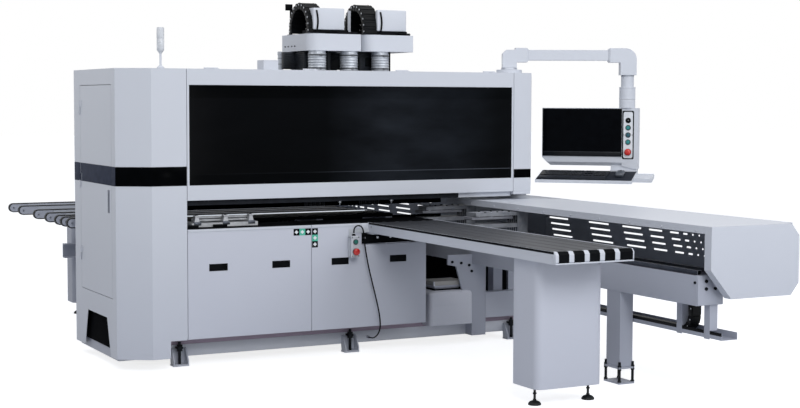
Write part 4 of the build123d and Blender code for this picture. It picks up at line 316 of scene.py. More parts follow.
node_finishes = {
    COVER_WHITE: ("left_column_cover", "right_column_cover", "roof_cover", "hood_frame", "side_door", "beam_cover",
                  "pendant_base", "pendant_arm", "pendant_case", "conveyor_frame", "left_head_carriage",
                  "right_head_carriage"),
    PANEL_GREY: ("front_panel_left", "front_panel_right", "fixed_panels", "conveyor_leg"),
    FRAME_GREY: ("base_frame", "gantry_frame", "gripper_beam", "beam_legs", "outfeed_frame", "cable_tray"),
    GUARD_GREY: ("beam_guard",),
    PUMP_WHITE: ("pump_unit",),
    ANODISED: ("side_fence",),
    GREY_ANODISED: ("front_gripper_carriage", "rear_gripper_carriage"),
    CAST_GREY: ("front_gripper_jaw", "rear_gripper_jaw"),
    STEEL: ("left_head_spindle", "right_head_spindle", "conveyor_drive_drums", "outfeed_drive_shaft",
            "outfeed_end_pulleys", "conveyor_end_drums"),
    DRILL_DARK: ("left_head_drill_block", "right_head_drill_block", "lower_head"),
    DRIVE_GREY: ("electrical_plate",),
    SLAT_BLACK: ("work_table",),
    BELT: ("conveyor_belts",),
    BLACK_BELT: ("outfeed_belts",),
    WINDOW: ("hood_glass",),
    SCREEN: ("pendant_screen",),
    LIGHT_ABS: ("button_box",),
}
for finish, names in node_finishes.items():
    for name in names:
        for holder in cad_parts[name].material_slots:
            holder.material = finish


def new_object(name, data):
    """Object of a mesh, curve, camera or lamp, in the scene."""
    made = bpy.data.objects.new(name, data)
    bpy.context.collection.objects.link(made)
    return made


def to_mesh(part, name):
    """Mesh of a shaped part, which is freed."""
    mesh = bpy.data.meshes.new(name)
    part.to_mesh(mesh)
    part.free()
    return mesh


def join(piece, part, finish=0, place=Matrix()):
    """Adds a shaped part to a piece, with its finish and place."""
    for face in part.faces:
        face.material_index = finish
    bmesh.ops.transform(part, matrix=place, verts=part.verts)
    scrap = to_mesh(part, "scrap")
    piece.from_mesh(scrap)
    bpy.data.meshes.remove(scrap)


def soften(part, edges, offset, steps=2):
    """Rounds edges of a part."""
    bmesh.ops.bevel(part, geom=edges, offset=offset, affect="EDGES", segments=steps, profile=0.5, material=-1)


def draw_out(part, face, height):
    """Draws a face of a part out along Z."""
    moved = bmesh.ops.extrude_face_region(part, geom=[face])["geom"]
    bmesh.ops.translate(part, vec=(0, 0, height), verts=[g for g in moved if isinstance(g, bmesh.types.BMVert)])


def slab(piece, low, high, edge=0.0, finish=0, place=Matrix(), steps=2):
    """Block between two corners with rounded edges."""
    part = bmesh.new()
    bmesh.ops.create_cube(part, size=1.0)
    low, high = Vector(low), Vector(high)
    bmesh.ops.scale(part, vec=high - low, verts=part.verts)
    bmesh.ops.translate(part, vec=(low + high) / 2, verts=part.verts)
    if edge:
        soften(part, list(part.edges), edge, steps)
    join(piece, part, finish, place)


def turned(piece, profile, finish=0, place=Matrix(), steps=32):
    """Turned shape: a profile of radius and height spun round Z."""
    part = bmesh.new()
    ring = [part.verts.new((radius, 0, height)) for radius, height in profile]
    line = [part.edges.new(pair) for pair in zip(ring, ring[1:])]
    bmesh.ops.spin(part, geom=ring + line, axis=(0, 0, 1), cent=(0, 0, 0), steps=steps, angle=2 * math.pi,
                   use_merge=True)
    bmesh.ops.remove_doubles(part, verts=part.verts, dist=1e-3)
    bmesh.ops.recalc_face_normals(part, faces=part.faces)
    join(piece, part, finish, place)


def tube(piece, inner, outer, low, high, finish=0, place=Matrix(), steps=32):
    """Ring, or a rod if its inner radius is nought."""
    turned(piece, [(inner, low), (outer, low), (outer, high), (inner, high)], finish, place, steps)


def hexagon(piece, across, height, finish=0, place=Matrix()):
    """Hexagon bolt head or nut with a turned-off top edge."""
    part = bmesh.new()
    radius = across / 1.732
    bmesh.ops.create_cone(part, cap_ends=True, segments=6, radius1=radius, radius2=radius, depth=height)
    bmesh.ops.translate(part, vec=(0, 0, height / 2), verts=part.verts)
    soften(part, [e for e in part.edges if all(v.co.z > 0.9 * height for v in e.verts)], 0.14 * height)
    join(piece, part, finish, place)


def screw(piece, radius, finish=0, place=Matrix()):
    """Socket screw head: a low cylinder with a rounded rim and a sunk socket."""
    high = 0.8 * radius
    turned(piece, [(0, 0.35 * high), (0.5 * radius, 0.35 * high), (0.5 * radius, high), (0.85 * radius, high),
                   (radius, 0.8 * high), (radius, 0)], finish, place, steps=10)


def plate(piece, outline, thickness, finish=0, place=Matrix(), edge=0.0):
    """Flat plate: an outline in X and Y drawn up along Z."""
    part = bmesh.new()
    draw_out(part, part.faces.new([part.verts.new((x, y, 0)) for x, y in outline]), thickness)
    bmesh.ops.recalc_face_normals(part, faces=part.faces)
    if edge:
        soften(part, list(part.edges), edge)
    join(piece, part, finish, place)


def arc(x, y, radius, degrees):
    """Points of an arc round a centre."""
    angles = [math.radians(degree) for degree in degrees]
    return [(x + radius * math.cos(angle), y + radius * math.sin(angle)) for angle in angles]


def rounded(x0, y0, x1, y1, radius):
    """Outline of a rectangle with round corners."""
    points = []
    for x, y, start in ((x1 - radius, y1 - radius, 0), (x0 + radius, y1 - radius, 90),
                        (x0 + radius, y0 + radius, 180), (x1 - radius, y0 + radius, 270)):
        points += arc(x, y, radius, range(start, start + 91, 18))
    return points


def cup(piece, width, height, depth, lip, edge, finish=0, place=Matrix()):
    """Moulded finger pull: a flange with a sunk cup, drawn facing up along Z with its flange on Z = 0."""
    part = bmesh.new()
    bmesh.ops.create_grid(part, x_segments=1, y_segments=1, size=0.5)
    bmesh.ops.scale(part, vec=(width, height, 1), verts=part.verts)
    face = part.faces[:][0]
    bmesh.ops.inset_region(part, faces=[face], thickness=lip)
    draw_out(part, face, -depth)
    soften(part, [e for e in part.edges if not e.is_boundary], edge, 3)
    bmesh.ops.recalc_face_normals(part, faces=part.faces)
    bmesh.ops.solidify(part, geom=list(part.faces), thickness=1.2)
    join(piece, part, finish, place)


def chain(piece, path, x, width, height, core):
    """Energy chain along link joints in Y and Z: octagonal side plates, crossbars, joint discs and pale pins."""
    half = width / 2
    low, high, cut, reach, pin = -height / 2, height / 2, height * 0.2, height * 0.4, 0.14 * height
    for (y0, z0), (y1, z1) in zip(path, path[1:]):
        run = math.hypot(y1 - y0, z1 - z0)
        ahead, up = (y1 - y0) / run, (z1 - z0) / run
        link = Matrix(((0, 0, 1, x), (ahead, -up, 0, y0), (up, ahead, 0, z0), (0, 0, 0, 1)))
        outline = [(0.8, low + cut), (cut, low), (run - cut, low), (run - 0.8, low + cut), (run - 0.8, high - cut),
                   (run - cut, high), (cut, high), (0.8, high - cut)]
        for side in (-half, half - 6):
            plate(piece, outline, 6, 0, link @ put(0, 0, side), edge=1.0)
        for level in (low + 1.5, high - 6.5):
            slab(piece, (0.2 * run, level, -half + 6), (0.8 * run, level + 5, half - 6), 1.5, 0, link, steps=1)
        if core:
            slab(piece, (0.6, low, -half + 0.2), (run - 0.6, high, half - 0.2), 1, 0, link, steps=1)
        tube(piece, 0, reach, -half + 1.5, half - 1.5, 0, link, 16)
        for side, out in ((-half, -1), (half, 1)):
            turned(piece, [(0, side + 1.6 * out), (0.11 * height, side + 1.6 * out), (pin, side + 0.6 * out),
                           (pin, side - 2 * out)], 1, link @ put(run / 2, cut, 0), steps=10)


def settle(piece, name, finishes, body, replaced=()):
    """Makes the finished piece's object in the row frame, on its body."""
    bmesh.ops.transform(piece, matrix=to_row, verts=piece.verts)
    mesh = to_mesh(piece, name)
    for finish in finishes:
        mesh.materials.append(finish)
    mesh.shade_smooth()
    mesh.set_sharp_from_angle(angle=math.radians(32))
    made = new_object(name, mesh)
    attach(made, body)
    if replaced:
        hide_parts(*replaced)


# Camera
CAMERA_AT = Vector((-3140.74, -8762.4, 1650.8))
YAW = math.radians(27.7458)
PITCH = math.radians(-3.8861)
ROLL = math.radians(0.1725)
forward = Vector((math.sin(YAW) * math.cos(PITCH), math.cos(YAW) * math.cos(PITCH), math.sin(PITCH)))
level = Vector((math.cos(YAW), -math.sin(YAW), 0))
upward = level.cross(forward)
across = math.cos(ROLL) * level + math.sin(ROLL) * upward
upright = math.cos(ROLL) * upward - math.sin(ROLL) * level
lens = bpy.data.cameras.new("camera")
lens.lens = 68.11
lens.sensor_width = 36
lens.clip_end = 200
camera = new_object("camera", lens)
camera.matrix_world = put(*(to_row @ CAMERA_AT), Matrix((across, upright, -forward)).transposed().to_4x4())
bpy.context.scene.camera = camera

# Cable of the push-button box, from its gland down to the gland on the base
CABLE_R = 4.5
CABLE_ROUTE = (
    (1116, -33, 804), (1116, -33, 831), (1135, -34, 850), (1162, -35, 849), (1181, -35, 830), (1188, -34, 789),
    (1196, -33, 716), (1216, -31, 610), (1240, -32, 512), (1266, -34, 412), (1289, -37, 318), (1306, -36, 236),
    (1316, -20, 172), (1321, 22, 124), (1324, 78, 96), (1326, 122, 84), (1326, 170, 84))
route = bpy.data.curves.new("button_box_lead", "CURVE")
route.dimensions = "3D"
route.bevel_depth = CABLE_R * MM
route.bevel_resolution = 5
route.resolution_u = 12
route.use_fill_caps = True
line = route.splines.new("NURBS")
line.points.add(len(CABLE_ROUTE) - 1)
for point, place in zip(line.points, CABLE_ROUTE):
    point.co = (*(to_row @ Vector(place)), 1.0)
line.order_u = 3
line.use_endpoint_u = True
route.materials.append(CABLE_BLACK)
lead = new_object("button_box_lead", route)
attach(lead, "machine")
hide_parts("button_box_cable")

# Ribbed hoses between the heads' spigots and trays, with clamp bands
HOSE_R = 61
HOSE_Z = (1800, 1980)
HOSE_TURNS = 9
HOSE_CUFF = 12
CUFF_R = HOSE_R - 4
HOSE_BORE_R = HOSE_R - 7
CLAMP_W = 9
hose_pitch = (HOSE_Z[1] - HOSE_Z[0] - 2 * HOSE_CUFF) / HOSE_TURNS
hose_profile = [(HOSE_BORE_R, HOSE_Z[0]), (CUFF_R, HOSE_Z[0]), (CUFF_R, HOSE_Z[0] + HOSE_CUFF)]
for i in range(HOSE_TURNS):
    start = HOSE_Z[0] + HOSE_CUFF + i * hose_pitch
    for share, sink in ((0.12, 3.4), (0.3, 1.2), (0.5, 0), (0.7, 1.2), (0.88, 3.4)):
        hose_profile.append((HOSE_R - sink, start + share * hose_pitch))
hose_profile += [(CUFF_R, HOSE_Z[1] - HOSE_CUFF), (CUFF_R, HOSE_Z[1]), (HOSE_BORE_R, HOSE_Z[1])]
for side, head in HEADS.items():
    hoses = bmesh.new()
    for x in head.hose_xs:
        stand = put(head.x0 + x, HOSE_Y, 0)
        turned(hoses, hose_profile, 0, stand, steps=40)
        for z in (HOSE_Z[0] + 62, HOSE_Z[1] - 32):
            tube(hoses, HOSE_R - 5, HOSE_R - 0.4, z, z + CLAMP_W, 1, stand, 40)
            slab(hoses, (-9, -HOSE_R - 4, z - 2), (9, -HOSE_R + 4, z + CLAMP_W + 2), 1.5, 1, stand)
    settle(hoses, side + "_head_ribbed_hoses", [HOSE_SILVER, HOSE_BAND], side + "_head",
           [side + "_head_hoses"])

# Arched energy chains on the heads' trays
ARCH_R = 143
ARCH_LINKS = 11
ARCH_MIDDLE = HEAD_TRAY_Y + 210
ARCH_SPRING = TRAY_TOP + 46
ARCH_FEET = (ARCH_MIDDLE - ARCH_R, ARCH_MIDDLE + ARCH_R)
arch_turns = [180 - i * 180 / ARCH_LINKS for i in range(ARCH_LINKS + 1)]
arch_path = [(ARCH_FEET[0], TRAY_TOP + 1.5), *arc(ARCH_MIDDLE, ARCH_SPRING, ARCH_R, arch_turns),
             (ARCH_FEET[1], TRAY_TOP + 1.5)]
for side, head in HEADS.items():
    arch = bmesh.new()
    chain(arch, arch_path, head.x0 + 68, 108, 43, False)
    settle(arch, side + "_head_arched_chain", [BLACK_NYLON, LIGHT_ABS], side + "_head",
           [side + "_head_chain"])

# Fittings of the heads: front cover over the chain's foot, a black block under it as painted shade, looms,
# ribs beside the hoses, drive motors, tray screws, a black web in the arch as painted shade, feet of the arch,
# cable guide; cooling fins of the motors
HEAD_COVER_Y = 318
WEB_R = 121
for side, head in HEADS.items():
    fittings = bmesh.new()
    x0 = head.x0
    cover_x0, cover_x1 = head.cover_x
    slab(fittings, (cover_x0, HEAD_COVER_Y, TRAY_TOP + 28), (cover_x1, head.box_y + 2, TRAY_TOP + 169), 6, 2, steps=3)
    # Painted shade: a black block under the front cover, for the shaded gap between the cover and the tray
    slab(fittings, (cover_x0 + 6, HEAD_COVER_Y + 6, TRAY_TOP),
         (x0 + head.box_x + 164, head.box_y + 114, TRAY_TOP + 28), 1.5)
    bend = [(10 * math.sin(math.pi * i / 8), TRAY_TOP + 10 + 18 * i) for i in range(9)]
    loom = [(cover_x0 + 14 + x, z) for x, z in bend] + [(cover_x0 + 25 + x, z) for x, z in reversed(bend)]
    plate(fittings, loom, 9, 0, put(0, HEAD_COVER_Y, 0, FRONT), edge=2.5)
    tube(fittings, 0, 8, cover_x1 - 60, x0 + head.width - 12, 0, put(0, HEAD_TRAY_Y + 26, TRAY_TOP + 8, RIGHT), 16)
    for x in head.hose_xs:
        slab(fittings, (x0 + x + 61.5, HOSE_Y - 20.6, 1742), (x0 + x + 68, HOSE_Y + 20.6, 1979.8), 0.4)
    for drive_x0, drive_x1 in head.drives:
        slab(fittings, (drive_x0, 568, 1862), (drive_x1, 608, 1976), 6, 3, steps=3)
        for z in range(1874, 1960, 14):
            slab(fittings, (drive_x0 + 4, 565, z), (drive_x1 - 4, 570, z + 6), 1.5, 3, steps=1)
    for y in (240, 290, 350, 400):
        screw(fittings, 5, 0, put(x0, HEAD_TRAY_Y + y, 2014, LEFT))
    # Painted shade: a black web fills the arch, where only shade is seen behind it
    web = arc(ARCH_MIDDLE, ARCH_SPRING, WEB_R, range(0, 181, 15))
    web += [(ARCH_MIDDLE - WEB_R, TRAY_TOP), (ARCH_MIDDLE + WEB_R, TRAY_TOP)]
    plate(fittings, web, 2, 0, put(x0 + 119, 0, 0, ACROSS))
    for y in ARCH_FEET:
        slab(fittings, (x0 + 6, y - 30, TRAY_TOP), (x0 + 130, y + 30, TRAY_TOP + 5), 1.5, 1)
    if side == "left":
        slab(fittings, (966, 640, TRAY_TOP), (984, 646, 2262), 1)
        slab(fittings, (934, 637, 2256), (984, 649, 2298), 2)
    settle(fittings, side + "_head_fittings", [BLACK_ABS, DARK_STEEL, COVER_WHITE, DRILL_DARK], side + "_head")
    fins = bmesh.new()
    for z in range(1860, 1966, 13):
        plate(fins, rounded(x0 + 16, 411, x0 + 214, 569, 12), 5, 0, put(0, 0, z), edge=0.8)
    slab(fins, (x0 + 60, 408, 1884), (x0 + 170, 414, 1940), 4, 1)
    settle(fins, side + "_motor_fins", [DRILL_DARK, BLACK_ABS], side + "_drill_block")

# Breather pipe on the roof behind the heads
at_breather = put(986, 850, HOUSE_TOP)
breather = bmesh.new()
turned(breather, [(0, 0), (26, 0), (26, 5), (19, 8), (19, 117), (21, 119), (21, 139), (18, 143), (0, 143)], 0,
       at_breather, steps=28)
for z in (55, 95):
    tube(breather, 18, 19.6, z, z + 4, 1, at_breather, 28)
settle(breather, "roof_breather", [HOSE_SILVER, HOSE_BAND], "machine")

# Tower light: white foot and stem, frosted lens in two rings, cap
at_light = put(-56, 311, HOUSE_TOP)
light = bmesh.new()
turned(light, [(0, 0), (24, 0), (24, 11), (20, 15), (9, 25), (7, 29), (7, 98), (0, 98)], 0, at_light)
turned(light, [(0, 98), (8, 98), (20, 115), (23, 120), (23.5, 185), (22.6, 187), (22.6, 189), (23.5, 191), (23.5, 253),
               (22, 258), (17, 261), (0, 261)], 1, at_light)
settle(light, "tower_light_lens", [COVER_WHITE, LENS], "machine", ["tower_light"])

# Levelling feet: painted plates and gussets, black jacking bolts, rubber pads on studs
RAIL_FRONT = 188
RAIL_BACK = 1001
feet = bmesh.new()
for x, face, out in ((0, RAIL_FRONT, -1), (1181, RAIL_FRONT, -1), (2430, RAIL_FRONT, -1), (70, RAIL_BACK, 1),
                     (1181, RAIL_BACK, 1), (2430, RAIL_BACK, 1), (2802, RAIL_BACK, 1)):
    y = [face + out * d for d in (0, 2, 6, 24, 33, 50, 68)]
    slab(feet, (x - 52, min(y[1], y[6]), 0), (x + 52, max(y[1], y[6]), 11), 1.5)
    for left in (x - 50, x + 42):
        gusset = [(y[0], 52), (y[0], 108), (y[2], 110), (y[3], 104), (y[6], 34), (y[6], 11), (y[2], 11)]
        plate(feet, gusset, 8, 0, put(left, 0, 0, ACROSS))
    slab(feet, (x - 42, min(y[1], y[2]), 11), (x + 42, max(y[1], y[2]), 106), 1)
    slab(feet, (x - 19, min(y[0], y[5]), 106), (x + 19, max(y[0], y[5]), 118), 1.5, 1)
    turned(feet, [(0, 11), (9, 11), (9, 148), (7, 150), (0, 150)], 1, put(x, y[4], 0), steps=20)
    for z in (118, 92):
        hexagon(feet, 31, 15, 1, put(x, y[4], z))
for x, y, top in ((1315, -1876.7, 98), (1666, -1876.7, 98), (86, 2730, 95), (1616, 2730, 95)):
    turned(feet, [(0, 0), (36, 0), (36, 7), (34, 11), (26, 19), (16, 23), (10, 26), (10, 32), (7, 34), (7, top),
                  (0, top)], 2, put(x, y, 0))
    hexagon(feet, 19, 8, 1, put(x, y, 60))
settle(feet, "levelling_feet_set", [COVER_WHITE, BLACK_STEEL, RUBBER], "machine", ["levelling_feet"])

# Outfeed: grey strips on both sides of the arms
ARM_YS = (1150, 1299, 1448, 1703, 2024, 2466, 2768)
outfeed = bmesh.new()
for y, side in product(ARM_YS, (-19.8, 19)):
    slab(outfeed, (-290, y + side, 809), (1640, y + side + 0.8, 859), 0.3)
settle(outfeed, "outfeed_arm_strips", [GUARD_GREY], "machine")

# Trim band round the left column, lapped at its corners, and on the right column
BAND_Z = (1132, 1249)
BAND_T = 1.2
CORNER_LAP = 0.8
band = bmesh.new()
for start, end, finish, laps in (((LEFT_X, HOUSE_D), (LEFT_X, 868), 1, (0, 0)),
                                 ((LEFT_X, 190), (LEFT_X, LEFT_CHAMFER_Y), 1, (0, 1)),
                                 ((LEFT_X, LEFT_CHAMFER_Y), (LEFT_FRONT, 0), 0, (1, 1)),
                                 ((LEFT_FRONT, 0), (-1, 0), 0, (1, 0))):
    run = Vector((end[0] - start[0], end[1] - start[1], 0))
    turn = Matrix.Rotation(math.atan2(run.y, run.x), 4, "Z")
    slab(band, (-CORNER_LAP * laps[0], -BAND_T, BAND_Z[0]), (run.length + CORNER_LAP * laps[1], 0, BAND_Z[1]), 0.4,
         finish, put(*start, 0, turn))
slab(band, (HOOD_W + 2, -BAND_T, BAND_Z[0]), (HOOD_W + 137, 0, 1191), 0.4)
settle(band, "column_trim_band", [GLOSS_BLACK, SLATE_FILM], "machine")

# Side door: trim band with the hinge leaf and barrel inside it, floor and frame of the recessed pull
PULL_Y = (247, 265)
PULL_FRAME = 9
LEAF_Z = (1135.6, 1180.4)
door_band = bmesh.new()
slab(door_band, (LEFT_X - BAND_T, DOOR_Y[0], BAND_Z[0]), (LEFT_X, DOOR_Y[1], BAND_Z[1]), 0.4)
slab(door_band, (LEFT_X + 8, PULL_Y[0], 967), (LEFT_X + 12, PULL_Y[1], 1097), 1.5, 1)
slab(door_band, (LEFT_X - 3.5, 833.5, LEAF_Z[0]), (LEFT_X - 2.9, 862, LEAF_Z[1]), 0.2)
tube(door_band, 4.0, 4.4, *LEAF_Z, 0, put(*DOOR_HINGE, 0), 20)
for y in (PULL_Y[0] - PULL_FRAME, PULL_Y[1]):
    slab(door_band, (LEFT_X - 0.9, y, 962), (LEFT_X, y + PULL_FRAME, 1102), 0.3, 2)
settle(door_band, "side_door_trim", [SLATE_FILM, DRIVE_GREY, PULL_GREY], "side_door")

# Front panels: places of the pull cups, ends of the top rim; first place, step and size of the printed marks
PANELS = {"left_front_panel": ((202, 623), (4, 830.5), (708, 799), (40.3, 0), (40.3, 43)),
          "right_front_panel": ((1035, 1456), (835.5, 1187), (836, 718), (0, 41), (41, 41))}
DIAMOND = [(-13, 0), (0, -13), (13, 0), (0, 13)]
for body, (pull_xs, rim, first, step, size) in PANELS.items():
    cups = bmesh.new()
    for x in pull_xs:
        cup(cups, 121, 44, 14, 3, 1.2, 0, put(x, 0.2, 622, FRONT))
    slab(cups, (rim[0], -2.5, 845), (rim[1], 1, 861), 2, 3)
    for i, finish in enumerate((0, 1, 0)):
        left, low = first[0] + i * step[0], first[1] + i * step[1]
        slab(cups, (left, -0.6, low), (left + size[0], 0, low + size[1]), 0, finish)
        plate(cups, DIAMOND, 0.9, 2, put(left + size[0] / 2, 0, low + size[1] / 2, FRONT))
    settle(cups, body + "_pulls", [BLACK_ABS, STICKER_GREEN, STICKER_WHITE, COVER_WHITE], body)

# Strip under the hood: a rubber skirt, and a painted hem over the gripper beam
SKIRT_Z = (1006.5, 1040)
skirt = bmesh.new()
for x0, x1, finish in ((3, 1930, 0), (1930.5, HOOD_W - 3, 1)):
    slab(skirt, (x0, 35, SKIRT_Z[0]), (x1, 43, SKIRT_Z[1]), 1, finish)
settle(skirt, "hood_skirt_strip", [SKIRT_DARK, COVER_WHITE], "hood")

# Belt table: edge strips, nose tabs between the belts, nose core, hem, filler plate and bolted strip at its root,
# cloth between the belts
BELT_PITCH = 98
NOSE = [(-34, 799), (-14, 799), (2, 811), (2, 850), (-14, 867), (-34, 867)]
nose = [(CONV_FRONT - y, z) for y, z in NOSE]
core = [(CONV_FRONT - min(y, 0.8), min(z, 866.6)) for y, z in NOSE]
seams = range(CONV_X[0] + BELT_PITCH, CONV_X[1] - BELT_PITCH, BELT_PITCH)
strips = bmesh.new()
for x in (CONV_X[0] - 0.8, CONV_X[1] - 0.2):
    slab(strips, (x, CONV_FRONT + 18, 853), (x + 1, -4, 866), 0.3)
for left, wide in [(CONV_X[0] - 0.5, 20), (CONV_X[1] - 8, 8.4)] + [(x - 13.5, 32) for x in seams]:
    plate(strips, nose, wide, 1, put(left, 0, 0, ACROSS), edge=2)
plate(strips, core, CONV_X[1] - CONV_X[0] - 10, 0, put(CONV_X[0] + 5, 0, 0, ACROSS))
slab(strips, (CONV_X[0], CONV_FRONT - 2, 798), (CONV_X[1], CONV_FRONT + 40, 806), 2, 1)
slab(strips, (1189, 2, 798), (CONV_X[0], 10, 861), 2, 1)
slab(strips, (1190, 28.4, 726), (1738, 29.8, 797), 0.4)
for x in range(1220, 1720, 96):
    hexagon(strips, 15, 7, 2, put(x, 28.4, 764, FRONT))
for x in seams:
    slab(strips, (x - 8.5, CONV_FRONT + 30, 864), (x + 13.5, -10, 865.9), 0.3, 3)
settle(strips, "belt_table_edge_strips", [BLACK_ABS, COVER_WHITE, ZINC, BELT], "machine")

# Base and housing: painted shadow along the front rail under the panels, and painted light on the rail's face below
# it; black sheets as painted shade behind the beam and inside the housing; hem of the right column
RAIL_X = (-378, 2478)
rail = bmesh.new()
# Painted shadow: a brown-mauve band on the rail's face, for the shade under the panels' bottom edge
slab(rail, (RAIL_X[0], RAIL_FRONT - 1.4, 128), (RAIL_X[1], RAIL_FRONT, 178), 0.3)
# Painted shade: black sheets behind the beam, inside the housing and inside the left column, where only shade is seen
for low, high in (((1755, 938.4, 180), (2710, 939.9, 529)), ((2332, 674, 180), (2710, 675.8, 529)),
                  ((12, 988, 906), (HOOD_W - 12, 995, 1290)), ((12, 985, 690), (HOOD_W - 12, 988, 824)),
                  ((-386, 150, 112), (-383, 900, 420))):
    slab(rail, low, high, 0.4, 1)
# Painted light: a near-white face on the lower rail, for the light that reaches it under the panels' shadow
slab(rail, (RAIL_X[0], RAIL_FRONT - 1.2, 52.5), (RAIL_X[1], RAIL_FRONT, 127.5), 0.3, 3)
slab(rail, (HOOD_W + 1, 1, 1019), (HOOD_W + 137, 187, 1040), 1, 2)
settle(rail, "rail_and_housing_painted_shade_and_light", [PAINTED_RAIL_SHADOW, PAINTED_SHADE_SHEET, COVER_WHITE, PAINTED_RAIL_LIGHT], "machine")

# Pump: crowned top of its cover, a black stem as painted shade in the gap under its lid, lid cap
pump = bmesh.new()
slab(pump, (1739.7, 79.7, 240), (2080.3, 420.3, 370), 32, 2, steps=5)
# Painted shade: the stem under the lid is black, for the shaded gap
slab(pump, (1816, 152, 368), (2020, 304, 378), 1)
plate(pump, rounded(1802.4, 141.9, 2032.6, 313.1, 12), 30, 1, put(0, 0, 402.8), edge=2)
settle(pump, "pump_fittings", [BLACK_ABS, PUMP_LID, PUMP_WHITE], "machine")

# Gripper beam: painted shade on its top, tracks, end plates, black bolts, jacking rods, plain stretch of the guard and
# gussets behind the cover's end caps
TRACK_HALF = 13.2
track_y = (BEAM_Y[0] + 20, BEAM_Y[1] - 20)
beam = bmesh.new()
# Painted shade: thin dark sheets on the beam's top beside and between the tracks
for x0, x1 in ((BEAM_X[0] + 1, TRACK_XS[0] - TRACK_HALF), (TRACK_XS[0] + TRACK_HALF, TRACK_XS[1] - TRACK_HALF),
               (TRACK_XS[1] + TRACK_HALF, BEAM_X[1] - 1)):
    slab(beam, (x0, track_y[0], BEAM_TOP), (x1, track_y[1], BEAM_TOP + 1))
for x in TRACK_XS:
    slab(beam, (x - TRACK_HALF, track_y[0], BEAM_TOP), (x + TRACK_HALF, track_y[1], BEAM_TOP + 26.2), 1, 1, steps=1)
for y, out, turn in ((BEAM_Y[0], -8, FRONT), (BEAM_Y[1], 8, BACK)):
    near, far = sorted((y, y + out))
    slab(beam, (BEAM_X[0] + 2, near, BEAM_BOTTOM + 2), (BEAM_X[1] - 2, far, BEAM_TOP - 1), 1.5, 2)
    for x, z in product((2136, 2198), (638, 680)):
        hexagon(beam, 17, 9, 3, put(x, y + out, z, turn))
hexagon(beam, 14, 7, 3, put(BEAM_X[0], BEAM_Y[0] + 14, 673, LEFT))
for x, z in ((1923, 565), (1993, 555), (2056, 538), (2076, 496)):
    hexagon(beam, 17, 9, 3, put(x, 104, z, FRONT))
for middle, x, out in product(PEDESTAL_YS, (2081, 2175), (-68, 68)):
    for z in (11, 80, 101):
        hexagon(beam, 20, 10, 3, put(x, middle + out, z))
    turned(beam, [(8.4, 11), (8.4, 129), (7, 131.5), (0, 131.5)], 3, put(x, middle + out, 0), steps=16)
slab(beam, (2686.6, 122, 718), (2688.7, 1700, 978), 0.4, 4)
for y in (-2353, 3335):
    plate(beam, [(2637, 981.9), (2688.8, 981.9), (2688.8, 920)], 2, 5, put(0, y, 0, FRONT))
settle(beam, "gripper_beam_fittings", [PAINTED_BEAM_SHADE, DARK_STEEL, FRAME_GREY, BLACK_STEEL, GUARD_GREY, COVER_WHITE],
       "machine")

# Energy chain in the hung tray, with its dark strip and the tray's hangers
CURL_R = 83
CURL_Y = -2024
CHAIN_Z = 380
tray_path = [(y, CHAIN_Z) for y in range(-920, CURL_Y - 1, -46)]
tray_path += arc(CURL_Y, CHAIN_Z + CURL_R, CURL_R, (240, 210, 180))
tray_path.append((CURL_Y - CURL_R, BEAM_BOTTOM - 1.5))
tray_chain = bmesh.new()
chain(tray_chain, tray_path, 2221, 67.2, 31.2, True)
slab(tray_chain, (2178.2, -2390, 384), (2179.2, -900, 402.8), 0.3)
for y in (-2290, -2050, -1450, -960):
    slab(tray_chain, (2176, y - 1.5, 403), (2230, y + 1.5, BEAM_BOTTOM), 0.8, 2, steps=1)
settle(tray_chain, "tray_energy_chain", [BLACK_NYLON, LIGHT_ABS, FRAME_GREY], "machine")

# Beam cover: screws along the lips
COVER_RIGHT = 2695
cover_screws = bmesh.new()
for y, (x, turn) in product((*range(-2280, 420, 300), *range(1100, 3320, 300)),
                            ((BEAM_X[0], LEFT), (COVER_RIGHT, RIGHT))):
    screw(cover_screws, 5, 0, put(x, y, 958, turn))
settle(cover_screws, "beam_cover_screws", [COVER_WHITE], "machine")

# Side fence: clamp heads, twin rods, stop blocks and the sleeve of the polished bar
fence = bmesh.new()
for x in (90, 280, 450):
    slab(fence, (x + 2, 114, 928), (x + 34, 152, 936), 2, 1)
    screw(fence, 7, 2, put(x + 18, 133, 936))
    slab(fence, (x - 6, 108, 876), (x + 42, 120, 898), 2, 2)
for y, z in ((162, 904), (162, 922), (196, 908)):
    tube(fence, 0, 7, 100, 462, 1, put(0, y, z, RIGHT), 16)
for x0, x1, y in ((24, 100, 66), (206, 292, 76)):
    slab(fence, (x0, y, TABLE_TOP), (x1, y + 32, TABLE_TOP + 15), 3, 3)
tube(fence, 13, 20, 24, 1718, 0, put(0, 1030, 846, RIGHT))
settle(fence, "side_fence_fittings", [POLISHED, ANODISED, DARK_STEEL, BLACK_ABS], "machine")

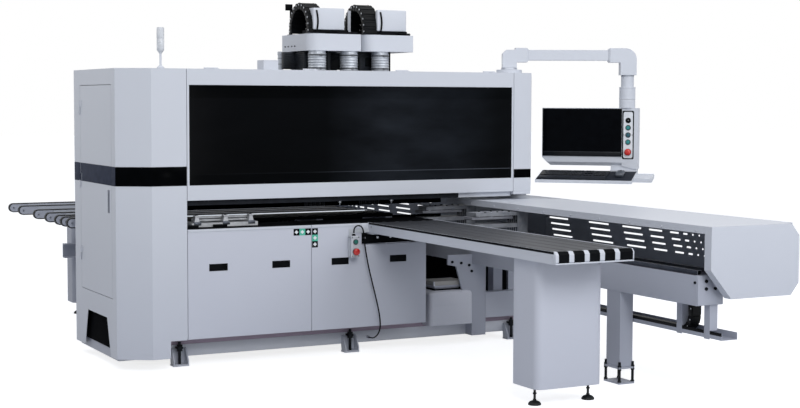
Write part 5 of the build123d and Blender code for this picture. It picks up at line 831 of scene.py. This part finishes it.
# Grippers: polished guide rods and a rubber pad on the jaw; cap screws, slide wipers and dark ribs on the carriage
WIPER_T = 3
for side, middle in GRIPPER_YS.items():
    pair = (middle - 40, middle + 40)
    rods = bmesh.new()
    for x, y in product((1816, 1906, 1996), pair):
        turned(rods, [(8.4, 911), (8.4, 937), (7, 938.4), (0, 938.4)], 0, put(x, y, 0), steps=16)
        turned(rods, [(8.3, 910.2), (8.3, 913)], 0, put(x, y, 0), steps=16)
    slab(rods, (1755, middle - 50, 891), (2040, middle + 50, 894.3), 1, 1)
    settle(rods, side + "_jaw_rods", [POLISHED, RUBBER], side + "_jaw")
    arm = bmesh.new()
    for x, y in product((1861, 1951, 2040), pair):
        screw(arm, 7, 0, put(x, y, 938))
    for y, z in product((middle - 50, middle + 50), (800, 840, 880)):
        screw(arm, 6, 0, put(2092, y, z, LEFT))
    for y, wiper_y, turn in ((middle - 90, middle - 90, FRONT), (middle + 90, middle + 90 + WIPER_T, BACK)):
        for x in TRACK_XS:
            plate(arm, rounded(x - 24, 719, x + 24, 745, 4), WIPER_T, 1, put(0, wiper_y, 0, FRONT))
        screw(arm, 6, 0, put(2169, y, 769, turn))
    for y in range(middle - 58, middle + 47, 26):
        slab(arm, (2091, y, 786), (2093, y + 12, 930), 0.5, 2)
    settle(arm, side + "_gripper_fittings", [BLACK_STEEL, BLACK_ABS, DARK_STEEL], side + "_gripper")

# Pendant arm: painted coupling rings and grey seams
rings = bmesh.new()
tube(rings, 44, 44.8, 1824, 1833, 1, at_drop, 48)
for z in (1744, 1668):
    turned(rings, [(54, z), (55.8, z), (56, z + 1), (56, z + 7), (55.8, z + 8), (44, z + 8.4)], 0, at_drop, steps=48)
settle(rings, "pendant_arm_rings", [COVER_WHITE, DUCT_GREY], "pendant_arm")
base_rings = bmesh.new()
turned(base_rings, [(54, 1870), (55.8, 1870), (56, 1871), (56, 1876), (55.4, 1877), (55.4, 1880.6), (54, 1880.6)], 0,
       at_arm, steps=48)
settle(base_rings, "pendant_flange_ring", [COVER_WHITE], "machine")


def on_case(z, proud=0):
    """Place on the pendant case's front, in the line of its buttons."""
    return at_case @ put(BUTTON_X, CASE_FRONT - proud, z, FRONT)


def on_box(z):
    """Place on the push-button box's front, in the line of its buttons."""
    return put(BOX_MIDDLE, BOX_FRONT, z, FRONT)


def bars(wide, tall, inner_wide, inner_tall):
    """Foot, top, left and right bar of a frame, as left, right, low and high edges."""
    return ((*wide, tall[0], inner_tall[0]), (*wide, inner_tall[1], tall[1]), (wide[0], inner_wide[0], *tall),
            (inner_wide[1], wide[1], *tall))


# Control plate, button collars and screen bezel on the pendant's case, and the pad frame on its tray
COLLAR = [(14.6, 0), (18.5, 0), (18.5, 3), (17.5, 4.5), (15.2, 5), (14.6, 4)]
GLASS_X = (-577, -34)
GLASS_Z = (1304, 1598)
panel = bmesh.new()
facing = at_case @ put(0, CASE_FRONT, 0, FRONT)
plate(panel, rounded(-25, 1256, 55, 1590, 10), 0.8, 1, facing)
plate(panel, rounded(-17, 1264, 47, 1582, 9), 1.3, 0, facing)
for x in (-15, 45):
    for z in (1266, 1580):
        screw(panel, 3.5, 1, at_case @ put(x, CASE_FRONT - 1.3, z, FRONT))
    slab(panel, (x - 5, CASE_FRONT - 1.7, 1421), (x + 5, CASE_FRONT - 1.3, 1425), 0, 1, at_case)
for x0, x1, y0, y1 in bars((84, 206), (-197, -73), (87, 203), (-194, -76)):
    slab(panel, (x0, y0, -2), (x1, y1, 4), 0.8, 0, at_tray)
for z in (KEY_Z, *BUTTON_ZS.values()):
    turned(panel, COLLAR, 1, on_case(z, 1))
turned(panel, [(11.6, 0), (24, 0), (24, 1.5), (22, 3), (11.6, 3)], 1, on_case(STOP_Z, 1))
for x0, x1, z0, z1 in bars((-583.5, -27.5), (1273, 1604.4), GLASS_X, GLASS_Z):
    slab(panel, (x0, CASE_FRONT - 5.2, z0), (x1, CASE_FRONT, z1), 0.6, 2, at_case)
slab(panel, (GLASS_X[0], CASE_FRONT - 4.8, GLASS_Z[0]), (GLASS_X[1], CASE_FRONT - 4, GLASS_Z[0] + 1), 0, 3, at_case)
settle(panel, "pendant_control_plate", [PLATE_WHITE, BLACK_ABS, BEZEL, DRIVE_GREY], "pendant")

# Buttons: domed caps, mushroom heads and the key
CAP = [(0, 11), (8, 10.8), (11.5, 10), (13.4, 8), (14, 5), (14, -3), (0, -3)]
MUSHROOM = [(0, 28), (10, 27.4), (17, 25.2), (21.4, 21.5), (23, 17), (22.4, 13), (19, 10.4), (11, 10), (11, -3),
            (0, -3)]
for name, kind, shape, finish, slot, place in (
        ("start_button", "_cap", CAP, TEAL, "button_teal", on_case(BUTTON_ZS["start_button"])),
        ("feed_button", "_cap", CAP, DARK_TEAL, "button_teal", on_case(BUTTON_ZS["feed_button"])),
        ("reset_button", "_cap", CAP, TEAL, "button_teal", on_case(BUTTON_ZS["reset_button"])),
        ("pendant_stop", "_head", MUSHROOM, RED, "button_red", on_case(STOP_Z)),
        ("box_stop_button", "_head", MUSHROOM, RED, "button_red", on_box(BOX_STOP_Z)),
        ("box_start_button", "_cap", CAP, GREEN, "button_green", on_box(BOX_START_Z))):
    button = bmesh.new()
    turned(button, shape, 0, place)
    settle(button, name + kind, [finish], name, [name])
key = bmesh.new()
turned(key, [(0, 7), (8, 7), (9.5, 8), (12.5, 8), (14, 6), (14, 0.5), (11, 0.5), (11, -5), (0, -5)], 0, on_case(KEY_Z))
turned(key, [(0, 8.6), (3.6, 8.6), (4.4, 7.6), (4.4, 6)], 1, on_case(KEY_Z))
slab(key, (BUTTON_X - 1.2, CASE_FRONT - 22, KEY_Z - 9), (BUTTON_X + 1.2, CASE_FRONT - 7, KEY_Z + 9), 1, 0, at_case)
settle(key, "key_switch_knob", [BLACK_ABS, STICKER_WHITE], "key_switch", ["key_switch"])

# Push-button box: lid seam, corner screws, button collars and cable gland
box = bmesh.new()
plate(box, rounded(1086.6, -60.4, 1145.4, -5.6, 6.4), 1.6, 0, put(0, 0, 773))
slab(box, (1086.7, -42, 648.7), (1145.3, -40.4, 786.3))
for x, z in product((1094, 1138), (657, 778)):
    screw(box, 3, 0, put(x, BOX_FRONT, z, FRONT))
turned(box, COLLAR, 1, on_box(BOX_START_Z))
turned(box, [(11.6, 0), (22, 0), (22, 1.5), (20, 3), (11.6, 3)], 1, on_box(BOX_STOP_Z))
hexagon(box, 20, 7, 0, put(BOX_MIDDLE, GLAND_Y, 786))
turned(box, [(9.5, 786), (9.5, 797), (8.6, 801), (6, 805), (4.6, 806)], 0, put(BOX_MIDDLE, GLAND_Y, 0), steps=24)
settle(box, "button_box_fittings", [BLACK_ABS, DARK_STEEL], "machine")

# Keyboard, mouse and mat on the sloping tray: each row has its depth and its keys' widths, with gaps as minus widths
UNIT = 19.05
KEY_ROWS = ((-64, (1, -1, 1, 1, 1, 1, -0.5, 1, 1, 1, 1, -0.5, 1, 1, 1, 1)), (-92, (1,) * 13 + (2,)),
            (-111, (1.5,) + (1,) * 12 + (1.5,)), (-130, (1.75,) + (1,) * 11 + (2.25,)),
            (-149, (2.25,) + (1,) * 10 + (2.75,)), (-168, (1.25,) * 3 + (6.25,) + (1.25,) * 4))
MIDDLE_ROWS = (-64, -92, -111, -168)
PAD_FIRST = -92
desk = bmesh.new()
slab(desk, (-578, -254, 0), (78, -8, 2), 0.6, 2, at_tray)
slab(desk, (-572, -250, 2), (-102, -45, 10), 3, 0, at_tray)
slab(desk, (-566, -247, 8), (-108, -184, 14), 2.8, 0, at_tray, steps=3)
for depth, widths in KEY_ROWS:
    blocks = [(-560, widths)]
    if depth in MIDDLE_ROWS:
        blocks.append((-262, (1,) * 3))
    if depth <= PAD_FIRST:
        blocks.append((-193, (1,) * 4))
    for x, row in blocks:
        for wide in row:
            if wide > 0:
                slab(desk, (x + 1, depth - 8.5, 9), (x + wide * UNIT - 1, depth + 8.5, 16), 1.6, 1, at_tray, steps=1)
            x += abs(wide) * UNIT
mouse = bmesh.new()
slab(mouse, (-44, -180, 2), (12, -77, 30), 13, 0, at_tray, steps=5)
slab(mouse, (-17, -104, 27), (-15, -76, 30.6), 0.4, 1, at_tray)
turned(mouse, [(0, -4), (7, -4), (8, -3), (8, 3), (7, 4), (0, 4)], 1, at_tray @ put(-16, -102, 25, RIGHT), steps=20)
settle(mouse, "pendant_mouse", [MOUSE_GREY, BLACK_ABS], "pendant")
settle(desk, "pendant_keyboard", [KEY_BLACK, BEZEL, DESK_MAT], "pendant", ["keyboard"])

# Cabinet fittings behind the side door: drive fronts, terminals, ducts
CABINET_Y = 195
cabinet = bmesh.new()
for y in range(CABINET_Y, CABINET_Y + 5 * 78, 78):
    slab(cabinet, (-154.5, y + 2, 1354), (-153, y + 64, 1578), 1)
    slab(cabinet, (-155.5, y + 12, 1510), (-154, y + 54, 1556), 1, 1)
    for z in (1376, 1402, 1428):
        slab(cabinet, (-160, y + 14, z), (-154, y + 52, z + 14), 1.5, 2)
for y in range(CABINET_Y, CABINET_Y + 9 * 42, 42):
    slab(cabinet, (-90, y + 2, 1083), (-88, y + 36, 1167), 1, 2)
    for z in (1094, 1148):
        screw(cabinet, 5, 4, put(-90, y + 19, z, LEFT))
for z in (1000, 1240, 1620):
    slab(cabinet, (-64.5, 182, z + 1), (-63, 588, z + 39), 0.6, 3)
    for y in range(188, 588, 17):
        slab(cabinet, (-65, y, z + 4), (-64, y + 6, z + 30))
slab(cabinet, (-204.5, 236, 606), (-203, 534, 854), 1, 3)
for y in range(262, 502, 20):
    slab(cabinet, (-205.5, y, 640), (-204, y + 10, 820), 0.4)
settle(cabinet, "cabinet_fittings", [DRIVE_GREY, BLACK_ABS, TERMINAL_BEIGE, DUCT_GREY, STEEL], "machine")


def bare_tree(holder):
    """Emptied node tree of a material or world."""
    holder.use_nodes = True
    holder.node_tree.nodes.clear()
    return holder.node_tree


def straight_rays(tree):
    """One for rays from the camera, off a gloss or through a clear piece, else nought."""
    path = add(tree, "LightPath").outputs
    direct = calc("MAXIMUM", path["Is Camera Ray"], path["Is Glossy Ray"])
    return calc("MAXIMUM", direct, path["Is Transmission Ray"])


# Stage and light
WHITE = (1, 1, 1, 1)
LAMPS = (("key_softbox", (-2.4, -8.6, 6.0), (-0.3, 0, 1.0), 4.0, 330, "#FFFFFF"),
         ("fill_softbox", (4.4, -8.6, 4.8), (0.5, 0, 1.0), 4.0, 130, "#F8FAFF"),
         ("low_softbox", (1.2, -9.8, 1.3), (0.6, 0, 0.9), 1.5, 40, "#F8FAFF"),
         ("side_softbox", (-3.6, 0.2, 4.0), (-1.8, 0.2, 2.0), 1.0, 25, "#FFFFFF"),
         ("top_softbox", (1.0, -1.8, 5.6), (0.9, -0.6, 0.9), 3.0, 58, "#FFFFFF"))


def stage_floor():
    """White floor that is lit by itself where it is seen, and catches shadows."""
    shape = bmesh.new()
    bmesh.ops.create_grid(shape, x_segments=1, y_segments=1, size=60)
    floor = new_object("floor", to_mesh(shape, "floor"))
    paper = bpy.data.materials.new("white_studio_floor")
    tree = bare_tree(paper)
    glow = calc("MULTIPLY", straight_rays(tree), 0.8)
    white = add(tree, "Emission", {"Color": WHITE, "Strength": glow})
    matt = add(tree, "BsdfDiffuse", {"Color": linear("#C4C7CC")})
    both = add(tree, "AddShader", {0: matt.outputs["BSDF"], 1: white.outputs["Emission"]})
    add(tree, "OutputMaterial", {"Surface": both.outputs["Shader"]})
    floor.data.materials.append(paper)


def studio():
    """White surroundings, softer as light than as seen, and softboxes."""
    world = bpy.data.worlds.new("studio")
    bpy.context.scene.world = world
    tree = bare_tree(world)
    soft = add(tree, "Background", {"Color": linear("#E8EBF2"), "Strength": 0.5})
    white = add(tree, "Background", {"Color": WHITE, "Strength": 1.0})
    both = add(tree, "MixShader", {0: straight_rays(tree), 1: soft.outputs["Background"],
                                   2: white.outputs["Background"]})
    add(tree, "OutputWorld", {"Surface": both.outputs["Shader"]})
    for name, place, target, size, power, tint in LAMPS:
        lamp = bpy.data.lights.new(name, "AREA")
        lamp.size = size
        lamp.energy = power
        lamp.color = linear(tint)[:3]
        holder = new_object(name, lamp)
        holder.location = place
        holder.rotation_euler = (Vector(target) - Vector(place)).to_track_quat("-Z", "Y").to_euler()


stage_floor()
studio()
bpy.context.scene.view_settings.view_transform = "Standard"
